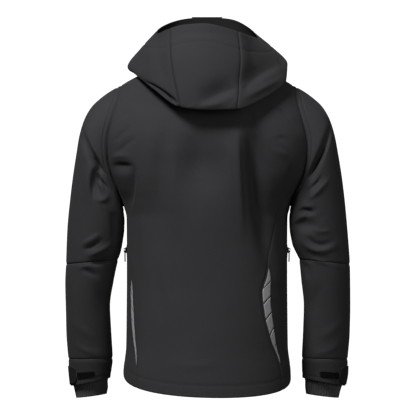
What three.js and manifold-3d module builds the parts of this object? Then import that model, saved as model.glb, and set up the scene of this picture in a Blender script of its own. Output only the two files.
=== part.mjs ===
// Hooded softshell jacket, zipped up and filled out as it is when worn.
// Millimetres. +X is the wearer's left, -Y the front, +Z up.
// The origin is the middle of the neck, level with the shoulder ends of the hood seam.

import * as THREE from 'three';
import { mergeVertices } from 'three/addons/utils/BufferGeometryUtils.js';
import Module from 'manifold-3d';

const wasm = await Module();
wasm.setup();

// A short table with named columns
function table(columns, rows) {
  return rows.map((row) => Object.fromEntries(columns.split(' ').map((name, i) => [name, row[i]])));
}

// Main sizes
const CLOTH = 2;
const SEAM_GAP = 0.3;
const SHOULDER_Z = -44;
const UNDERARM_Z = -270;
const ARMHOLE_DIP = 42;
const HEM = { level: -679, tilt: 5, backDrop: 45, frontDrop: 11, roundness: 0.27, softening: 0.001 };
const FRONT_YOKE_DROP = 61;
const YOKE_LIFT = 7;
const ZIP_HALF_WIDTH = 9;
const CHAIN_HALF_WIDTH = 3;
const CHAIN_HEIGHT = 1.6;
const CHAIN_SHOULDER = 0.5;
const NECK = { halfWidth: 75, backDepth: 62, frontDepth: 80, backRise: 10, frontDrop: 45, power: 0.9 };

// How finely each piece is divided
const BACK_COLUMNS = 20;
const SIDE_COLUMNS = 8;
const FRONT_COLUMNS = 9;
const LOWER_ROWS = 16;
const ARMHOLE_ROWS = 9;
const YOKE_ROWS = 4;
const HOOD_ROWS = 15;
const HOOD_SEAM_ANGLE = 36;
const SLEEVE_COLUMNS = 2 * ARMHOLE_ROWS + SIDE_COLUMNS;

const SOFTSHELL = { color: 0x24252a, roughness: 0.85, metalness: 0 };
const PANEL = { color: 0x202126, roughness: 0.86, metalness: 0 };
const KNIT = { color: 0x1b1b1e, roughness: 0.95, metalness: 0 };
const TAPE = { color: 0x17171a, roughness: 0.8, metalness: 0 };
const STRAP = { color: 0x141417, roughness: 0.6, metalness: 0 };
const LOOPS = { color: 0x101012, roughness: 0.95, metalness: 0 };
const METAL = { color: 0x2a2b2e, roughness: 0.45, metalness: 0.7 };

// Level sections of the body. power below 1 makes a section squarer than an ellipse.
const TORSO = table('z halfWidth backDepth frontDepth power', [
  [-740, 186, 148, 144, 0.96],
  [-671, 184, 144, 140, 0.96],
  [-618, 178, 140, 133, 0.95],
  [-540, 177, 136, 126, 0.94],
  [-470, 176.5, 134, 121, 0.94],
  [-400, 176.5, 134, 123, 0.93],
  [-337, 177, 136, 127, 0.92],
  [-300, 188, 138, 130, 0.9],
  [-270, 204, 140, 131, 0.88],
  [-235, 221, 141, 129, 0.85],
  [-200, 230, 141, 125, 0.83],
  [-165, 233, 138, 119, 0.82],
  [-125, 226, 129, 108, 0.83],
  [-84, 210, 113, 92, 0.86],
  [-44, 187, 92, 72, 0.92],
]);

// Degrees round the body from the middle of the back to each lengthwise seam.
// The cloth has turned a little round the body, so the two back seams differ.
const LENGTH_SEAMS = table('z backLeft backRight front', [
  [-700, 55, 62, 122],
  [-653, 56, 59, 121],
  [-603, 60, 50, 119],
  [-545, 63, 43, 116],
  [-500, 65, 41, 110],
  [-447, 68, 49, 102],
  [-400, 70, 58, 98],
  [-330, 73, 69, 101],
  [-270, 74, 74, 107],
]);

const ARMHOLE_EDGE = table('z back front', [
  [-270, 74, 107],
  [-235, 70.3, 110.5],
  [-200, 68, 113],
  [-165, 66.5, 115],
  [-125, 65.6, 115],
  [-84, 69, 111],
  [-44, 90, 90],
]);

// Sections along a sleeve, v counting from the armhole: how far out its outer and its under line run
// on the left and on the right arm, and their heights, half the depth from front to back, how far
// forward the arm hangs, and the share of the armhole's own shape.
const SLEEVE = table('v outLeft outRight outZ inLeft inRight inZ depth forward armhole', [
  [0, 187, 187, -44, 178, 178, -312, 62, 0, 1],
  [1, 210, 210, -56, 179, 178, -318, 66, 0, 0.85],
  [2, 234, 234, -73, 179, 178, -325, 69, 0, 0.7],
  [3, 254, 254, -92, 179, 178, -333, 71, 1, 0.56],
  [4, 268, 268, -116, 179, 178.5, -342, 73, 2, 0.43],
  [5, 279, 279, -150, 180, 179.5, -353, 74, 3, 0.31],
  [6, 287, 288, -195, 181, 181, -366, 74, 4, 0.2],
  [7, 295, 296.5, -245, 183.5, 184, -380, 73, 6, 0.11],
  [8, 302, 303.5, -300, 186.5, 188, -396, 71, 8, 0.04],
  [9, 308, 309.5, -362, 190, 195, -411, 68, 11, 0],
  [10, 311, 315, -438, 195.5, 202.5, -428, 63, 15, 0],
  [11, 313, 316, -482, 206, 208, -476, 60, 20, 0],
  [12, 312, 316.5, -536, 214, 213.5, -531, 57, 27, 0],
  [13, 311, 315.5, -592, 211.5, 212, -588, 54, 34, 0],
  [14, 307, 311.5, -648, 208.5, 209.5, -646, 50, 41, 0],
  [15, 305, 311, -678, 211, 210, -670, 47, 44, 0],
  [16, 302, 306, -708, 214, 211, -690, 45, 47, 0],
]);

const UPPER_SLEEVE_ROWS = [0, 1, 2, 3, 4, 5, 6, 7, 8, 8.6, 9.1, 9.55, 10];
const LOWER_SLEEVE_ROWS = [10, 10.6, 11.2, 11.8, 12.4, 13, 13.5, 14];
const CUFF_ROWS = [14, 14.7, 15.4, 16];

// The knitted cuff is sewn in along two rows of the sleeve's own cuff and hangs out below it
const KNIT_HIDDEN_ROWS = [14.7, 15.4];
const KNIT_INSET = CLOTH + 0.5;
const KNIT_CUFF = table('row outLeft outRight outZ inLeft inRight inZ depth forward', [
  [0, 296, 299, -708, 220, 217, -697, 39, 47],
  [1, 293, 295, -721, 219, 217, -711, 35, 49],
  [2, 290, 292, -735, 222, 219, -726, 34, 51],
]);

// The hood by degrees round the neck: its mouth, the fold where it hangs lowest or widest,
// how far the outer cloth swells, and the share that lies on the shoulders below the fold.
const HOOD = table('angle mouthX mouthY mouthZ foldX foldY foldZ swell lies', [
  [-180, 0, -98, 112, 0, -92, 25, 0, 0],
  [-150, -54, -88, 106, -60, -84, 22, 2, 0],
  [-125, -90, -62, 88, -124, -54, 9, 7, 0.5],
  [-100, -109, -20, 68, -177, 4, 3, 4, 1],
  [-80, -113, 14, 57, -173, 62, -36, 9, 1],
  [-62, -98, 54, 60, -120, 128, -79, 14, 1],
  [-36, -69, 97, 68, -66, 157, -102, 14, 1],
  [0, 8, 118, 85, -4, 164, -104, 14, 1],
  [18, 47, 111, 83, 28, 163, -102, 14, 1],
  [36, 82, 94, 75, 59, 156, -97, 14, 1],
  [62, 106, 52, 67, 118, 121, -53, 14, 1],
  [80, 111, 14, 68, 160, 56, -17, 9, 1],
  [100, 110, -20, 77, 175, 8, -4, 3, 1],
  [125, 93, -62, 92, 124, -54, 10, 7, 0.5],
  [150, 54, -88, 106, 60, -84, 22, 2, 0],
  [180, 0, -98, 112, 0, -92, 25, 0, 0],
]);
const HOOD_LIFT = { nearNeck: 4, nearFold: 9 };
const HOOD_UNDER = { nearNeck: 0.72, nearFold: 0.35 };
const HOOD_SWELL_RISE = 0.7;

// The largest folds, as seen from behind (face 1) or in front (-1): start, middle and end, reach
// to each side, how much wider they grow, and height. Below zero is a hollow, above zero a ridge.
// Left is the +X side of a fold that runs down and the lower side of one that runs to -X.
const FOLD_COLUMNS = 'face x0 z0 x1 z1 x2 z2 left right grow height';
const FOLDS = {
  body: table(FOLD_COLUMNS, [
    [1, -90, -136, -122, -276, -156, -470, 14, 28, 2.2, -24],
    [1, -66, -136, -68, -232, -77, -380, 20, 8, 1, 4.5],
    [1, 22, -96, 19, -170, 16, -280, 26, 24, 0.35, -8],
    [1, 86, -140, 104, -243, 106, -440, 14, 24, 1.3, -5],
    [1, 207, -224, 184, -221, 160, -226, 14, 5, 1, -7],
    [1, 161, -226, 162, -266, 168, -318, 13, 5, 1, -7],
    [1, -186, -220, -180, -265, -170, -330, 6, 13, 1, -8],
    [-1, 96, -150, 92, -260, 104, -380, 24, 16, 1, -7],
    [-1, -104, -160, -96, -280, -110, -400, 16, 26, 1, -8],
    [-1, 196, -210, 160, -235, 120, -250, 15, 9, 1, -5],
    [-1, -196, -205, -158, -240, -122, -262, 9, 15, 1, -5],
  ]),
  leftSleeve: table(FOLD_COLUMNS, [
    [1, 272, -128, 238, -162, 209, -219, 18, 4, 1, -13],
    [1, 220, -205, 240, -244, 242, -292, 5, 13, 1, -9],
    [1, 203, -318, 200, -350, 202, -398, 8, 9, 1, -6],
    [1, 192, -266, 186, -306, 184, -350, 11, 11, 1, 8],
    [1, 264, -419, 238, -410, 207, -391, 7, 6, 1, 5],
    [1, 255, -436, 229, -431, 203, -421, 7, 6, 1, -6],
    [-1, 300, -380, 256, -404, 206, -402, 12, 12, 1, -7],
    [-1, 262, -130, 236, -180, 216, -250, 15, 15, 1, -7],
  ]),
  rightSleeve: table(FOLD_COLUMNS, [
    [1, -266, -123, -236, -177, -203, -252, 4, 18, 1, -14],
    [1, -259, -244, -236, -270, -209, -292, 7, 7, 1, 4.5],
    [1, -198, -311, -212, -322, -232, -317, 6, 9, 1, -10],
    [1, -190, -262, -185, -314, -184, -374, 12, 12, 1, 10],
    [1, -205, -384, -242, -408, -283, -395, 7, 6, 1, 5],
    [-1, -300, -372, -256, -398, -206, -405, 12, 12, 1, -7],
    [-1, -262, -136, -238, -186, -216, -244, 15, 15, 1, -7],
  ]),
};
const FOLD_STEPS = 8;
const FOLD_LEAST_REACH = 9;
const FOLD_FREE_FROM = 1.5;
const FOLD_END_SHARE = 0.12;
const BODY_FOLDS_FADE = 0.35;
const SLEEVE_FOLDS_FADE = 0.4;

const mix = (a, b, share) => a + (b - a) * share;
const radians = THREE.MathUtils.degToRad;
const smooth = THREE.MathUtils.smoothstep;
const signedPower = (value, power) => Math.sign(value) * Math.abs(value) ** power;

// A value between the rows of a table, without overshoot. Rows run upwards in their key.
function sample(table, keyName, key, column) {
  const last = table.length - 1;
  let i = 0;
  while (i < last - 1 && key > table[i + 1][keyName]) i += 1;
  const gap = (k) => table[k + 1][keyName] - table[k][keyName];
  const slope = (k) => (table[k + 1][column] - table[k][column]) / gap(k);
  const tangent = (k) => {
    if (k === 0) return slope(0);
    if (k === last) return slope(last - 1);
    const before = slope(k - 1);
    const after = slope(k);
    return before * after <= 0 ? 0 : (2 * before * after) / (before + after);
  };
  const t = THREE.MathUtils.clamp((key - table[i][keyName]) / gap(i), 0, 1);
  const start = table[i][column];
  const end = table[i + 1][column];
  const startPull = gap(i) * tangent(i);
  const endPull = gap(i) * tangent(i + 1);
  const cubed = 2 * start - 2 * end + startPull + endPull;
  const squared = 3 * (end - start) - 2 * startPull - endPull;
  return ((cubed * t + squared) * t + startPull) * t + start;
}

// The nearest place on a fold: how far it is, how far along the fold, and on which side of it
function nearestOnFold(fold, x, z) {
  const bendX = 2 * fold.x1 - (fold.x0 + fold.x2) / 2;
  const bendZ = 2 * fold.z1 - (fold.z0 + fold.z2) / 2;
  const placeX = (t) => mix(mix(fold.x0, bendX, t), mix(bendX, fold.x2, t), t);
  const placeZ = (t) => mix(mix(fold.z0, bendZ, t), mix(bendZ, fold.z2, t), t);
  let nearest = { distance: Infinity };
  for (let step = 0; step < FOLD_STEPS; step += 1) {
    const [from, to] = [step / FOLD_STEPS, (step + 1) / FOLD_STEPS];
    const [runX, runZ] = [placeX(to) - placeX(from), placeZ(to) - placeZ(from)];
    const [offX, offZ] = [x - placeX(from), z - placeZ(from)];
    const along = (offX * runX + offZ * runZ) / (runX ** 2 + runZ ** 2);
    const share = THREE.MathUtils.clamp(along, 0, 1);
    const distance = Math.hypot(offX - runX * share, offZ - runZ * share);
    if (distance < nearest.distance) {
      nearest = { distance, along: mix(from, to, share), onLeft: runX * offZ - runZ * offX > 0 };
    }
  }
  return nearest;
}

// How far the folds of one piece move its cloth out at a place seen from behind or in front
function foldHeight(folds, face, x, z) {
  let height = 0;
  for (const fold of folds) {
    if (fold.face !== face) continue;
    const { distance, along, onLeft } = nearestOnFold(fold, x, z);
    const reach = Math.max(onLeft ? fold.left : fold.right, FOLD_LEAST_REACH) * mix(1, fold.grow, along);
    const share = mix(FOLD_END_SHARE, 1, Math.sin(Math.PI * along));
    height += fold.height * share * Math.exp(-((distance / reach) ** 2));
  }
  return height;
}

// Body surface

function torsoPoint(degrees, z) {
  const sine = Math.sin(radians(degrees));
  const cosine = Math.cos(radians(degrees));
  const power = sample(TORSO, 'z', z, 'power');
  const depth = sample(TORSO, 'z', z, cosine >= 0 ? 'backDepth' : 'frontDepth');
  const point = new THREE.Vector3(
    sample(TORSO, 'z', z, 'halfWidth') * signedPower(sine, power),
    depth * signedPower(cosine, power),
    z,
  );
  const facing = smooth(Math.abs(cosine), 0, BODY_FOLDS_FADE);
  const fold = facing * foldHeight(FOLDS.body, Math.sign(cosine), point.x, z);
  return point.add(new THREE.Vector3(sine * fold, cosine * fold, 0));
}

// The hem is highest at the sides, a little lower on the right, and flat across the back and front
function hemZ(degrees) {
  const cosine = Math.cos(radians(degrees));
  const bow = (value) => (value + HEM.softening) ** HEM.roundness - HEM.softening ** HEM.roundness;
  const drop = cosine > 0 ? HEM.backDrop : HEM.frontDrop;
  return HEM.level + HEM.tilt * Math.sin(radians(degrees)) - (drop * bow(cosine ** 2)) / bow(1);
}

const backSeam = (side) => (z) => side * sample(LENGTH_SEAMS, 'z', z, side > 0 ? 'backLeft' : 'backRight');
const frontSeam = (side) => (z) => side * sample(LENGTH_SEAMS, 'z', z, 'front');
const armholeBack = (side) => (z) => side * sample(ARMHOLE_EDGE, 'z', z, 'back');
const armholeFront = (side) => (z) => side * sample(ARMHOLE_EDGE, 'z', z, 'front');

function zipEdge(side) {
  return (z) => {
    const share = ZIP_HALF_WIDTH / sample(TORSO, 'z', z, 'halfWidth');
    const sine = share ** (1 / sample(TORSO, 'z', z, 'power'));
    return side * (180 - THREE.MathUtils.radToDeg(Math.asin(sine)));
  };
}

function neckPoint(degrees) {
  const sine = Math.sin(radians(degrees));
  const cosine = Math.cos(radians(degrees));
  const behind = cosine >= 0;
  return new THREE.Vector3(
    NECK.halfWidth * signedPower(sine, NECK.power),
    (behind ? NECK.backDepth : NECK.frontDepth) * signedPower(cosine, NECK.power),
    (behind ? NECK.backRise : -NECK.frontDrop) * cosine ** 2,
  );
}

const zipNeckAngle = 180 - THREE.MathUtils.radToDeg(
  Math.asin((ZIP_HALF_WIDTH / NECK.halfWidth) ** (1 / NECK.power)),
);

// A body panel between two seams has three bands: below the underarm, beside the armhole,
// and the yoke from the shoulder up to the neck.
function bandRows(seamA, seamB, columns, rows, lowZ, highZ) {
  const grid = [];
  for (let i = 0; i <= rows; i += 1) {
    const s = i / rows;
    const angleA = seamA(mix(lowZ(0), highZ(0), s));
    const angleB = seamB(mix(lowZ(1), highZ(1), s));
    const row = [];
    for (let j = 0; j <= columns; j += 1) {
      const u = j / columns;
      row.push(torsoPoint(mix(angleA, angleB, u), mix(lowZ(u), highZ(u), s)));
    }
    grid.push(row);
  }
  return grid;
}

function yokePoint(base, neck, t) {
  return base.clone().lerp(neck, t).add(new THREE.Vector3(0, 0, YOKE_LIFT * 4 * t * (1 - t)));
}

function yokeRows(baseRow, neckAngleA, neckAngleB) {
  const grid = [];
  for (let i = 1; i <= YOKE_ROWS; i += 1) {
    grid.push(baseRow.map((base, j) => {
      const neck = neckPoint(mix(neckAngleA, neckAngleB, j / (baseRow.length - 1)));
      return yokePoint(base, neck, i / YOKE_ROWS);
    }));
  }
  return grid;
}

function hemLine(seamA, seamB) {
  return (u) => hemZ(mix(seamA(HEM.level), seamB(HEM.level), u));
}

function bodyPanel(lowA, lowB, highA, highB, columns, yokeZ, neckAngleA, neckAngleB) {
  const underarm = () => UNDERARM_Z;
  const lower = bandRows(lowA, lowB, columns, LOWER_ROWS, hemLine(lowA, lowB), underarm);
  const upper = bandRows(highA, highB, columns, ARMHOLE_ROWS, underarm, yokeZ);
  const beside = [...lower, ...upper.slice(1)];
  return [...beside, ...yokeRows(upper[ARMHOLE_ROWS], neckAngleA, neckAngleB)];
}

function backGrid() {
  return bodyPanel(backSeam(-1), backSeam(1), armholeBack(-1), armholeBack(1), BACK_COLUMNS,
    () => SHOULDER_Z, -90, 90);
}

function frontGrid(side) {
  return bodyPanel(frontSeam(side), zipEdge(side), armholeFront(side), zipEdge(side), FRONT_COLUMNS,
    (u) => SHOULDER_Z - FRONT_YOKE_DROP * smooth(u, 0, 1), side * 90, side * zipNeckAngle);
}

function sideGrid(side) {
  const seamA = backSeam(side);
  const seamB = frontSeam(side);
  return bandRows(seamA, seamB, SIDE_COLUMNS, LOWER_ROWS, hemLine(seamA, seamB),
    (u) => UNDERARM_Z - ARMHOLE_DIP * Math.sin(Math.PI * u));
}

// The armhole's own points, from the shoulder down the back, under the arm and up the front
function armholeLoop(back, side, sidePanel, front) {
  const backEdge = side > 0 ? BACK_COLUMNS : 0;
  const loop = [];
  for (let i = ARMHOLE_ROWS; i >= 0; i -= 1) loop.push(back[LOWER_ROWS + i][backEdge]);
  for (let j = 1; j < SIDE_COLUMNS; j += 1) loop.push(sidePanel[LOWER_ROWS][j]);
  for (let i = 0; i < ARMHOLE_ROWS; i += 1) loop.push(front[LOWER_ROWS + i][0]);
  return loop;
}

// Sleeve surface

function ringPoint(table, keyName, key, side, degrees) {
  const value = (column) => sample(table, keyName, key, column);
  const hand = side > 0 ? 'Left' : 'Right';
  const outer = new THREE.Vector3(side * value(`out${hand}`), 0, value('outZ'));
  const under = new THREE.Vector3(side * value(`in${hand}`), 0, value('inZ'));
  const middle = outer.clone().add(under).multiplyScalar(0.5);
  const half = outer.clone().sub(under).multiplyScalar(0.5);
  const point = middle.addScaledVector(half, Math.cos(radians(degrees)));
  point.y += value('depth') * Math.sin(radians(degrees)) - value('forward');
  return point;
}

function sleevePoint(side, v, degrees) {
  const point = ringPoint(SLEEVE, 'v', v, side, degrees);
  const facing = Math.sin(radians(degrees));
  const folds = side > 0 ? FOLDS.leftSleeve : FOLDS.rightSleeve;
  const shown = smooth(Math.abs(facing), 0, SLEEVE_FOLDS_FADE) * smooth(v, 0, FOLD_FREE_FROM);
  const fold = shown * foldHeight(folds, Math.sign(facing), point.x, point.z);
  const out = point.clone().sub(ringPoint(SLEEVE, 'v', v, side, degrees + 180)).normalize();
  return point.addScaledVector(out, fold);
}

function sleeveGrid(side, stations, loop) {
  return stations.map((v) => loop.map((seam, j) => {
    const degrees = (360 * j) / SLEEVE_COLUMNS;
    if (v === 0) return seam.clone();
    const pull = seam.clone().sub(ringPoint(SLEEVE, 'v', 0, side, degrees));
    return sleevePoint(side, v, degrees).addScaledVector(pull, sample(SLEEVE, 'v', v, 'armhole'));
  }));
}

function knitCuffGrid(side) {
  const turns = Array.from({ length: SLEEVE_COLUMNS }, (_, j) => (360 * j) / SLEEVE_COLUMNS);
  const ring = (place) => turns.map((degrees) => place(degrees));
  const hidden = KNIT_HIDDEN_ROWS.map((v) => ring((degrees) => {
    const point = sleevePoint(side, v, degrees);
    const inwards = sleevePoint(side, v, degrees + 180).sub(point).normalize();
    return point.addScaledVector(inwards, KNIT_INSET);
  }));
  const shown = KNIT_CUFF.map(({ row }) => ring(
    (degrees) => ringPoint(KNIT_CUFF, 'row', row, side, degrees),
  ));
  return [...hidden, ...shown];
}

// Hood surface

function hoodStation(angle, base) {
  const value = (column) => sample(HOOD, 'angle', angle, column);
  const mouth = new THREE.Vector3(value('mouthX'), value('mouthY'), value('mouthZ'));
  const fold = new THREE.Vector3(value('foldX'), value('foldY'), value('foldZ'));
  const neck = neckPoint(angle);
  const outwards = [Math.sin(radians(angle)), Math.cos(radians(angle)), HOOD_SWELL_RISE];
  const out = new THREE.Vector3(...outwards).normalize();
  const outer = mouth.clone().lerp(fold, 0.5).addScaledVector(out, value('swell'));
  const under = (share, lift) => {
    const onShoulder = yokePoint(base, neck, share).addScaledVector(out, lift);
    return fold.clone().lerp(neck, share).lerp(onShoulder, value('lies'));
  };
  const line = [
    mouth,
    outer,
    fold,
    under(HOOD_UNDER.nearFold, HOOD_LIFT.nearFold),
    under(HOOD_UNDER.nearNeck, HOOD_LIFT.nearNeck),
    neck,
  ];
  return new THREE.CatmullRomCurve3(line, false, 'centripetal').getPoints(HOOD_ROWS);
}

// Columns of the hood follow the neck's columns of the back and the fronts
function hoodColumns(back, leftFront, rightFront) {
  const yokeBase = LOWER_ROWS + ARMHOLE_ROWS;
  const columns = [];
  const add = (angle, base) => columns.push({ angle, line: hoodStation(angle, base) });
  for (let j = FRONT_COLUMNS; j > 0; j -= 1) {
    add(-mix(90, zipNeckAngle, j / FRONT_COLUMNS), rightFront[yokeBase][j]);
  }
  for (let j = 0; j <= BACK_COLUMNS; j += 1) {
    add(mix(-90, 90, j / BACK_COLUMNS), back[yokeBase][j]);
  }
  for (let j = 1; j <= FRONT_COLUMNS; j += 1) {
    add(mix(90, zipNeckAngle, j / FRONT_COLUMNS), leftFront[yokeBase][j]);
  }
  return columns;
}

function hoodGrid(columns, fromAngle, toAngle) {
  const chosen = columns.filter(({ angle }) => angle > fromAngle - 1 && angle < toAngle + 1);
  const grid = [];
  for (let i = 0; i <= HOOD_ROWS; i += 1) {
    grid.push(chosen.map(({ line }) => line[HOOD_ROWS - i]));
  }
  return grid;
}

// The zip fills the space between the two front edges from the hem to the mouth of the hood
function frontZipGrid(leftFront, rightFront, columns) {
  const left = leftFront.map((row) => row[FRONT_COLUMNS]);
  const right = rightFront.map((row) => row[FRONT_COLUMNS]);
  for (let i = HOOD_ROWS - 1; i >= 0; i -= 1) {
    left.push(columns[columns.length - 1].line[i]);
    right.push(columns[0].line[i]);
  }
  return left.map((leftPoint, i) => zipSection(leftPoint, right[i]));
}

function zipSection(left, right) {
  const halfSection = [CHAIN_HALF_WIDTH, CHAIN_HALF_WIDTH + CHAIN_SHOULDER, ZIP_HALF_WIDTH];
  const places = [...halfSection.map((x) => -x).reverse(), ...halfSection];
  return places.map((x) => {
    const point = right.clone().lerp(left, (x + ZIP_HALF_WIDTH) / (2 * ZIP_HALF_WIDTH));
    if (Math.abs(x) <= CHAIN_HALF_WIDTH) point.y -= CHAIN_HEIGHT;
    return point;
  });
}

// Solids

function surfaceNormals(grid, closed, flip) {
  const normals = grid.map((row) => row.map(() => new THREE.Vector3()));
  const columns = grid[0].length;
  for (let i = 0; i < grid.length - 1; i += 1) {
    for (let j = 0; j < columns - (closed ? 0 : 1); j += 1) {
      const k = (j + 1) % columns;
      const across = grid[i + 1][k].clone().sub(grid[i][j]);
      const other = grid[i + 1][j].clone().sub(grid[i][k]);
      const normal = across.cross(other).multiplyScalar(flip ? -1 : 1);
      for (const corner of [normals[i][j], normals[i][k], normals[i + 1][j], normals[i + 1][k]]) {
        corner.add(normal);
      }
    }
  }
  normals.forEach((row) => row.forEach((normal) => normal.normalize()));
  return normals;
}

const placeKey = (point) => [point.x, point.y, point.z].map((value) => Math.round(value * 100)).join(' ');

// Pieces that meet at a seam turn their edges the same way there
function shareSeamNormals(panels) {
  const meeting = new Map();
  for (const panel of panels) {
    panel.normals = surfaceNormals(panel.grid, panel.closed, panel.flip);
    panel.grid.forEach((row, i) => row.forEach((point, j) => {
      const key = placeKey(point);
      if (!meeting.has(key)) meeting.set(key, []);
      meeting.get(key).push({ panel, normal: panel.normals[i][j] });
    }));
  }
  for (const panel of panels) {
    panel.edge = panel.grid.map((row, i) => row.map((point, j) => {
      const own = panel.normals[i][j];
      const shared = own.clone();
      let opposed = false;
      for (const other of meeting.get(placeKey(point))) {
        if (other.panel === panel) continue;
        if (other.normal.dot(own) > 0.1) shared.add(other.normal);
        else opposed = true;
      }
      return { normal: shared.normalize(), back: opposed ? SEAM_GAP / 2 : 0 };
    }));
  }
}

function towards(point, inner, before, after) {
  const away = inner.clone().sub(point);
  const along = after.clone().sub(before).normalize();
  return away.addScaledVector(along, -away.dot(along)).normalize();
}

// Each edge stands back by half the seam gap, and the inside follows at the cloth's thickness
function panelSheets(panel) {
  const { grid, closed, edge } = panel;
  const lastRow = grid.length - 1;
  const lastColumn = grid[0].length - 1;
  const outer = grid.map((row, i) => row.map((point, j) => {
    const moved = point.clone().addScaledVector(edge[i][j].normal, -edge[i][j].back);
    const left = grid[i][closed ? (j + lastColumn) % (lastColumn + 1) : Math.max(j - 1, 0)];
    const right = grid[i][closed ? (j + 1) % (lastColumn + 1) : Math.min(j + 1, lastColumn)];
    const below = grid[Math.max(i - 1, 0)][j];
    const above = grid[Math.min(i + 1, lastRow)][j];
    if (i === 0) moved.addScaledVector(towards(point, above, left, right), SEAM_GAP / 2);
    if (i === lastRow) moved.addScaledVector(towards(point, below, left, right), SEAM_GAP / 2);
    if (!closed && j === 0) moved.addScaledVector(towards(point, right, below, above), SEAM_GAP / 2);
    if (!closed && j === lastColumn) {
      moved.addScaledVector(towards(point, left, below, above), SEAM_GAP / 2);
    }
    return moved;
  }));
  const inner = outer.map((row, i) => row.map(
    (point, j) => point.clone().addScaledVector(edge[i][j].normal, -CLOTH),
  ));
  return { outer, inner };
}

function sheetGeometry(outer, inner, closed, flip) {
  const rows = outer.length;
  const columns = outer[0].length;
  const positions = [];
  for (const sheet of [outer, inner]) {
    for (const row of sheet) for (const point of row) positions.push(point.x, point.y, point.z);
  }
  const at = (sheet, i, j) => (sheet * rows + i) * columns + (j % columns);
  const triangles = [];
  const face = (a, b, c) => triangles.push(a, flip ? c : b, flip ? b : c);
  const quad = (a, b, c, d) => {
    face(a, b, c);
    face(a, c, d);
  };
  const lastColumn = closed ? columns : columns - 1;
  for (let i = 0; i < rows - 1; i += 1) {
    for (let j = 0; j < lastColumn; j += 1) {
      quad(at(0, i, j), at(0, i, j + 1), at(0, i + 1, j + 1), at(0, i + 1, j));
      quad(at(1, i, j), at(1, i + 1, j), at(1, i + 1, j + 1), at(1, i, j + 1));
    }
  }
  for (let j = 0; j < lastColumn; j += 1) {
    quad(at(0, 0, j), at(1, 0, j), at(1, 0, j + 1), at(0, 0, j + 1));
    quad(at(0, rows - 1, j), at(0, rows - 1, j + 1), at(1, rows - 1, j + 1), at(1, rows - 1, j));
  }
  if (!closed) {
    for (let i = 0; i < rows - 1; i += 1) {
      quad(at(0, i, 0), at(0, i + 1, 0), at(1, i + 1, 0), at(1, i, 0));
      quad(at(0, i, lastColumn), at(1, i, lastColumn), at(1, i + 1, lastColumn), at(0, i + 1, lastColumn));
    }
  }
  const geometry = new THREE.BufferGeometry();
  geometry.setAttribute('position', new THREE.Float32BufferAttribute(positions, 3));
  geometry.setIndex(triangles);
  geometry.computeVertexNormals();
  return geometry;
}

function namedMesh(name, geometry, look) {
  const mesh = new THREE.Mesh(geometry, new THREE.MeshStandardMaterial(look));
  mesh.name = name;
  return mesh;
}

// A thin plate laid on a surface. place(u, v) gives the surface, shape(u, v) its own corners.
const PATCH = { lift: 0.45, reach: 0.01 };

function laidPatch(name, look, place, { columns, rows, thickness }, flip) {
  const bottom = [];
  const top = [];
  for (let i = 0; i <= rows; i += 1) {
    const bottomRow = [];
    const topRow = [];
    for (let j = 0; j <= columns; j += 1) {
      const u = j / columns;
      const v = i / rows;
      const point = place(u, v);
      const across = place(u + PATCH.reach, v).sub(place(u - PATCH.reach, v));
      const along = place(u, v + PATCH.reach).sub(place(u, v - PATCH.reach));
      const normal = across.cross(along).normalize().multiplyScalar(flip ? -1 : 1);
      bottomRow.push(point.clone().addScaledVector(normal, PATCH.lift));
      topRow.push(point.clone().addScaledVector(normal, PATCH.lift + thickness));
    }
    bottom.push(bottomRow);
    top.push(topRow);
  }
  return namedMesh(name, sheetGeometry(top, bottom, false, flip), look);
}

// Cuff fastening: a strap from the front round the outer side, and the loop tape behind it

const CUFF_STRAP = {
  from: -36, to: 52, low: 15.9, high: 14.5, taper: 0.1, thickness: 1.6, columns: 13, rows: 3,
};
const LOOP_TAPE = {
  from: 54, to: 104, low: 15.5, high: 15.02, taper: 0, thickness: 1.1, columns: 8, rows: 1,
};
const TAPER_FROM = 0.75;

function cuffPatch(name, look, side, size) {
  const place = (u, v) => {
    const narrowing = size.taper * smooth(u, TAPER_FROM, 1);
    const station = mix(size.low - narrowing, size.high + narrowing, v);
    return sleevePoint(side, station, mix(size.from, size.to, u));
  };
  return laidPatch(name, look, place, size, side < 0);
}

// Pocket zip: laid along the seam between the front and the side panel
const POCKET_ZIP = { top: -396, bottom: -560, halfWidth: 6, thickness: 1.4, columns: 2, rows: 12 };
const MM_PER_DEGREE = 2.6;

function pocketZipPlace(side) {
  return (u, v) => {
    const z = mix(POCKET_ZIP.bottom, POCKET_ZIP.top, v);
    const across = (mix(-1, 1, u) * POCKET_ZIP.halfWidth) / MM_PER_DEGREE;
    return torsoPoint(side * (sample(LENGTH_SEAMS, 'z', z, 'front') + across), z);
  };
}

// Zip sliders and their pull tabs, in a frame with x across the zip, y out and z up along it
const SLIDER = { width: 8.4, height: 3, length: 12, gap: 0.35 };
const CROWN = { width: 2.4, top: 7.2, holeTop: 6, length: 9, holeLength: 6, sunk: 0.5 };
const PULL = {
  width: 7, length: 25, thickness: 1.4, bar: 1.5, eyeWidth: 3.8, eyeLength: 3.6, barY: 4.65, barZ: -1.7,
};

function solidOf(geometry) {
  const bare = geometry.clone();
  bare.deleteAttribute('normal');
  bare.deleteAttribute('uv');
  const merged = mergeVertices(bare);
  return new wasm.Manifold(new wasm.Mesh({
    numProp: 3,
    vertProperties: new Float32Array(merged.attributes.position.array),
    triVerts: new Uint32Array(merged.index.array),
  }));
}

function geometryOf(solid) {
  const mesh = solid.getMesh();
  const geometry = new THREE.BufferGeometry();
  geometry.setAttribute('position', new THREE.BufferAttribute(mesh.vertProperties, 3));
  geometry.setIndex(new THREE.BufferAttribute(mesh.triVerts, 1));
  geometry.computeVertexNormals();
  return geometry;
}

function rectangle(left, bottom, right, top) {
  return [[left, bottom], [right, bottom], [right, top], [left, top]].map((xy) => new THREE.Vector2(...xy));
}

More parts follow.
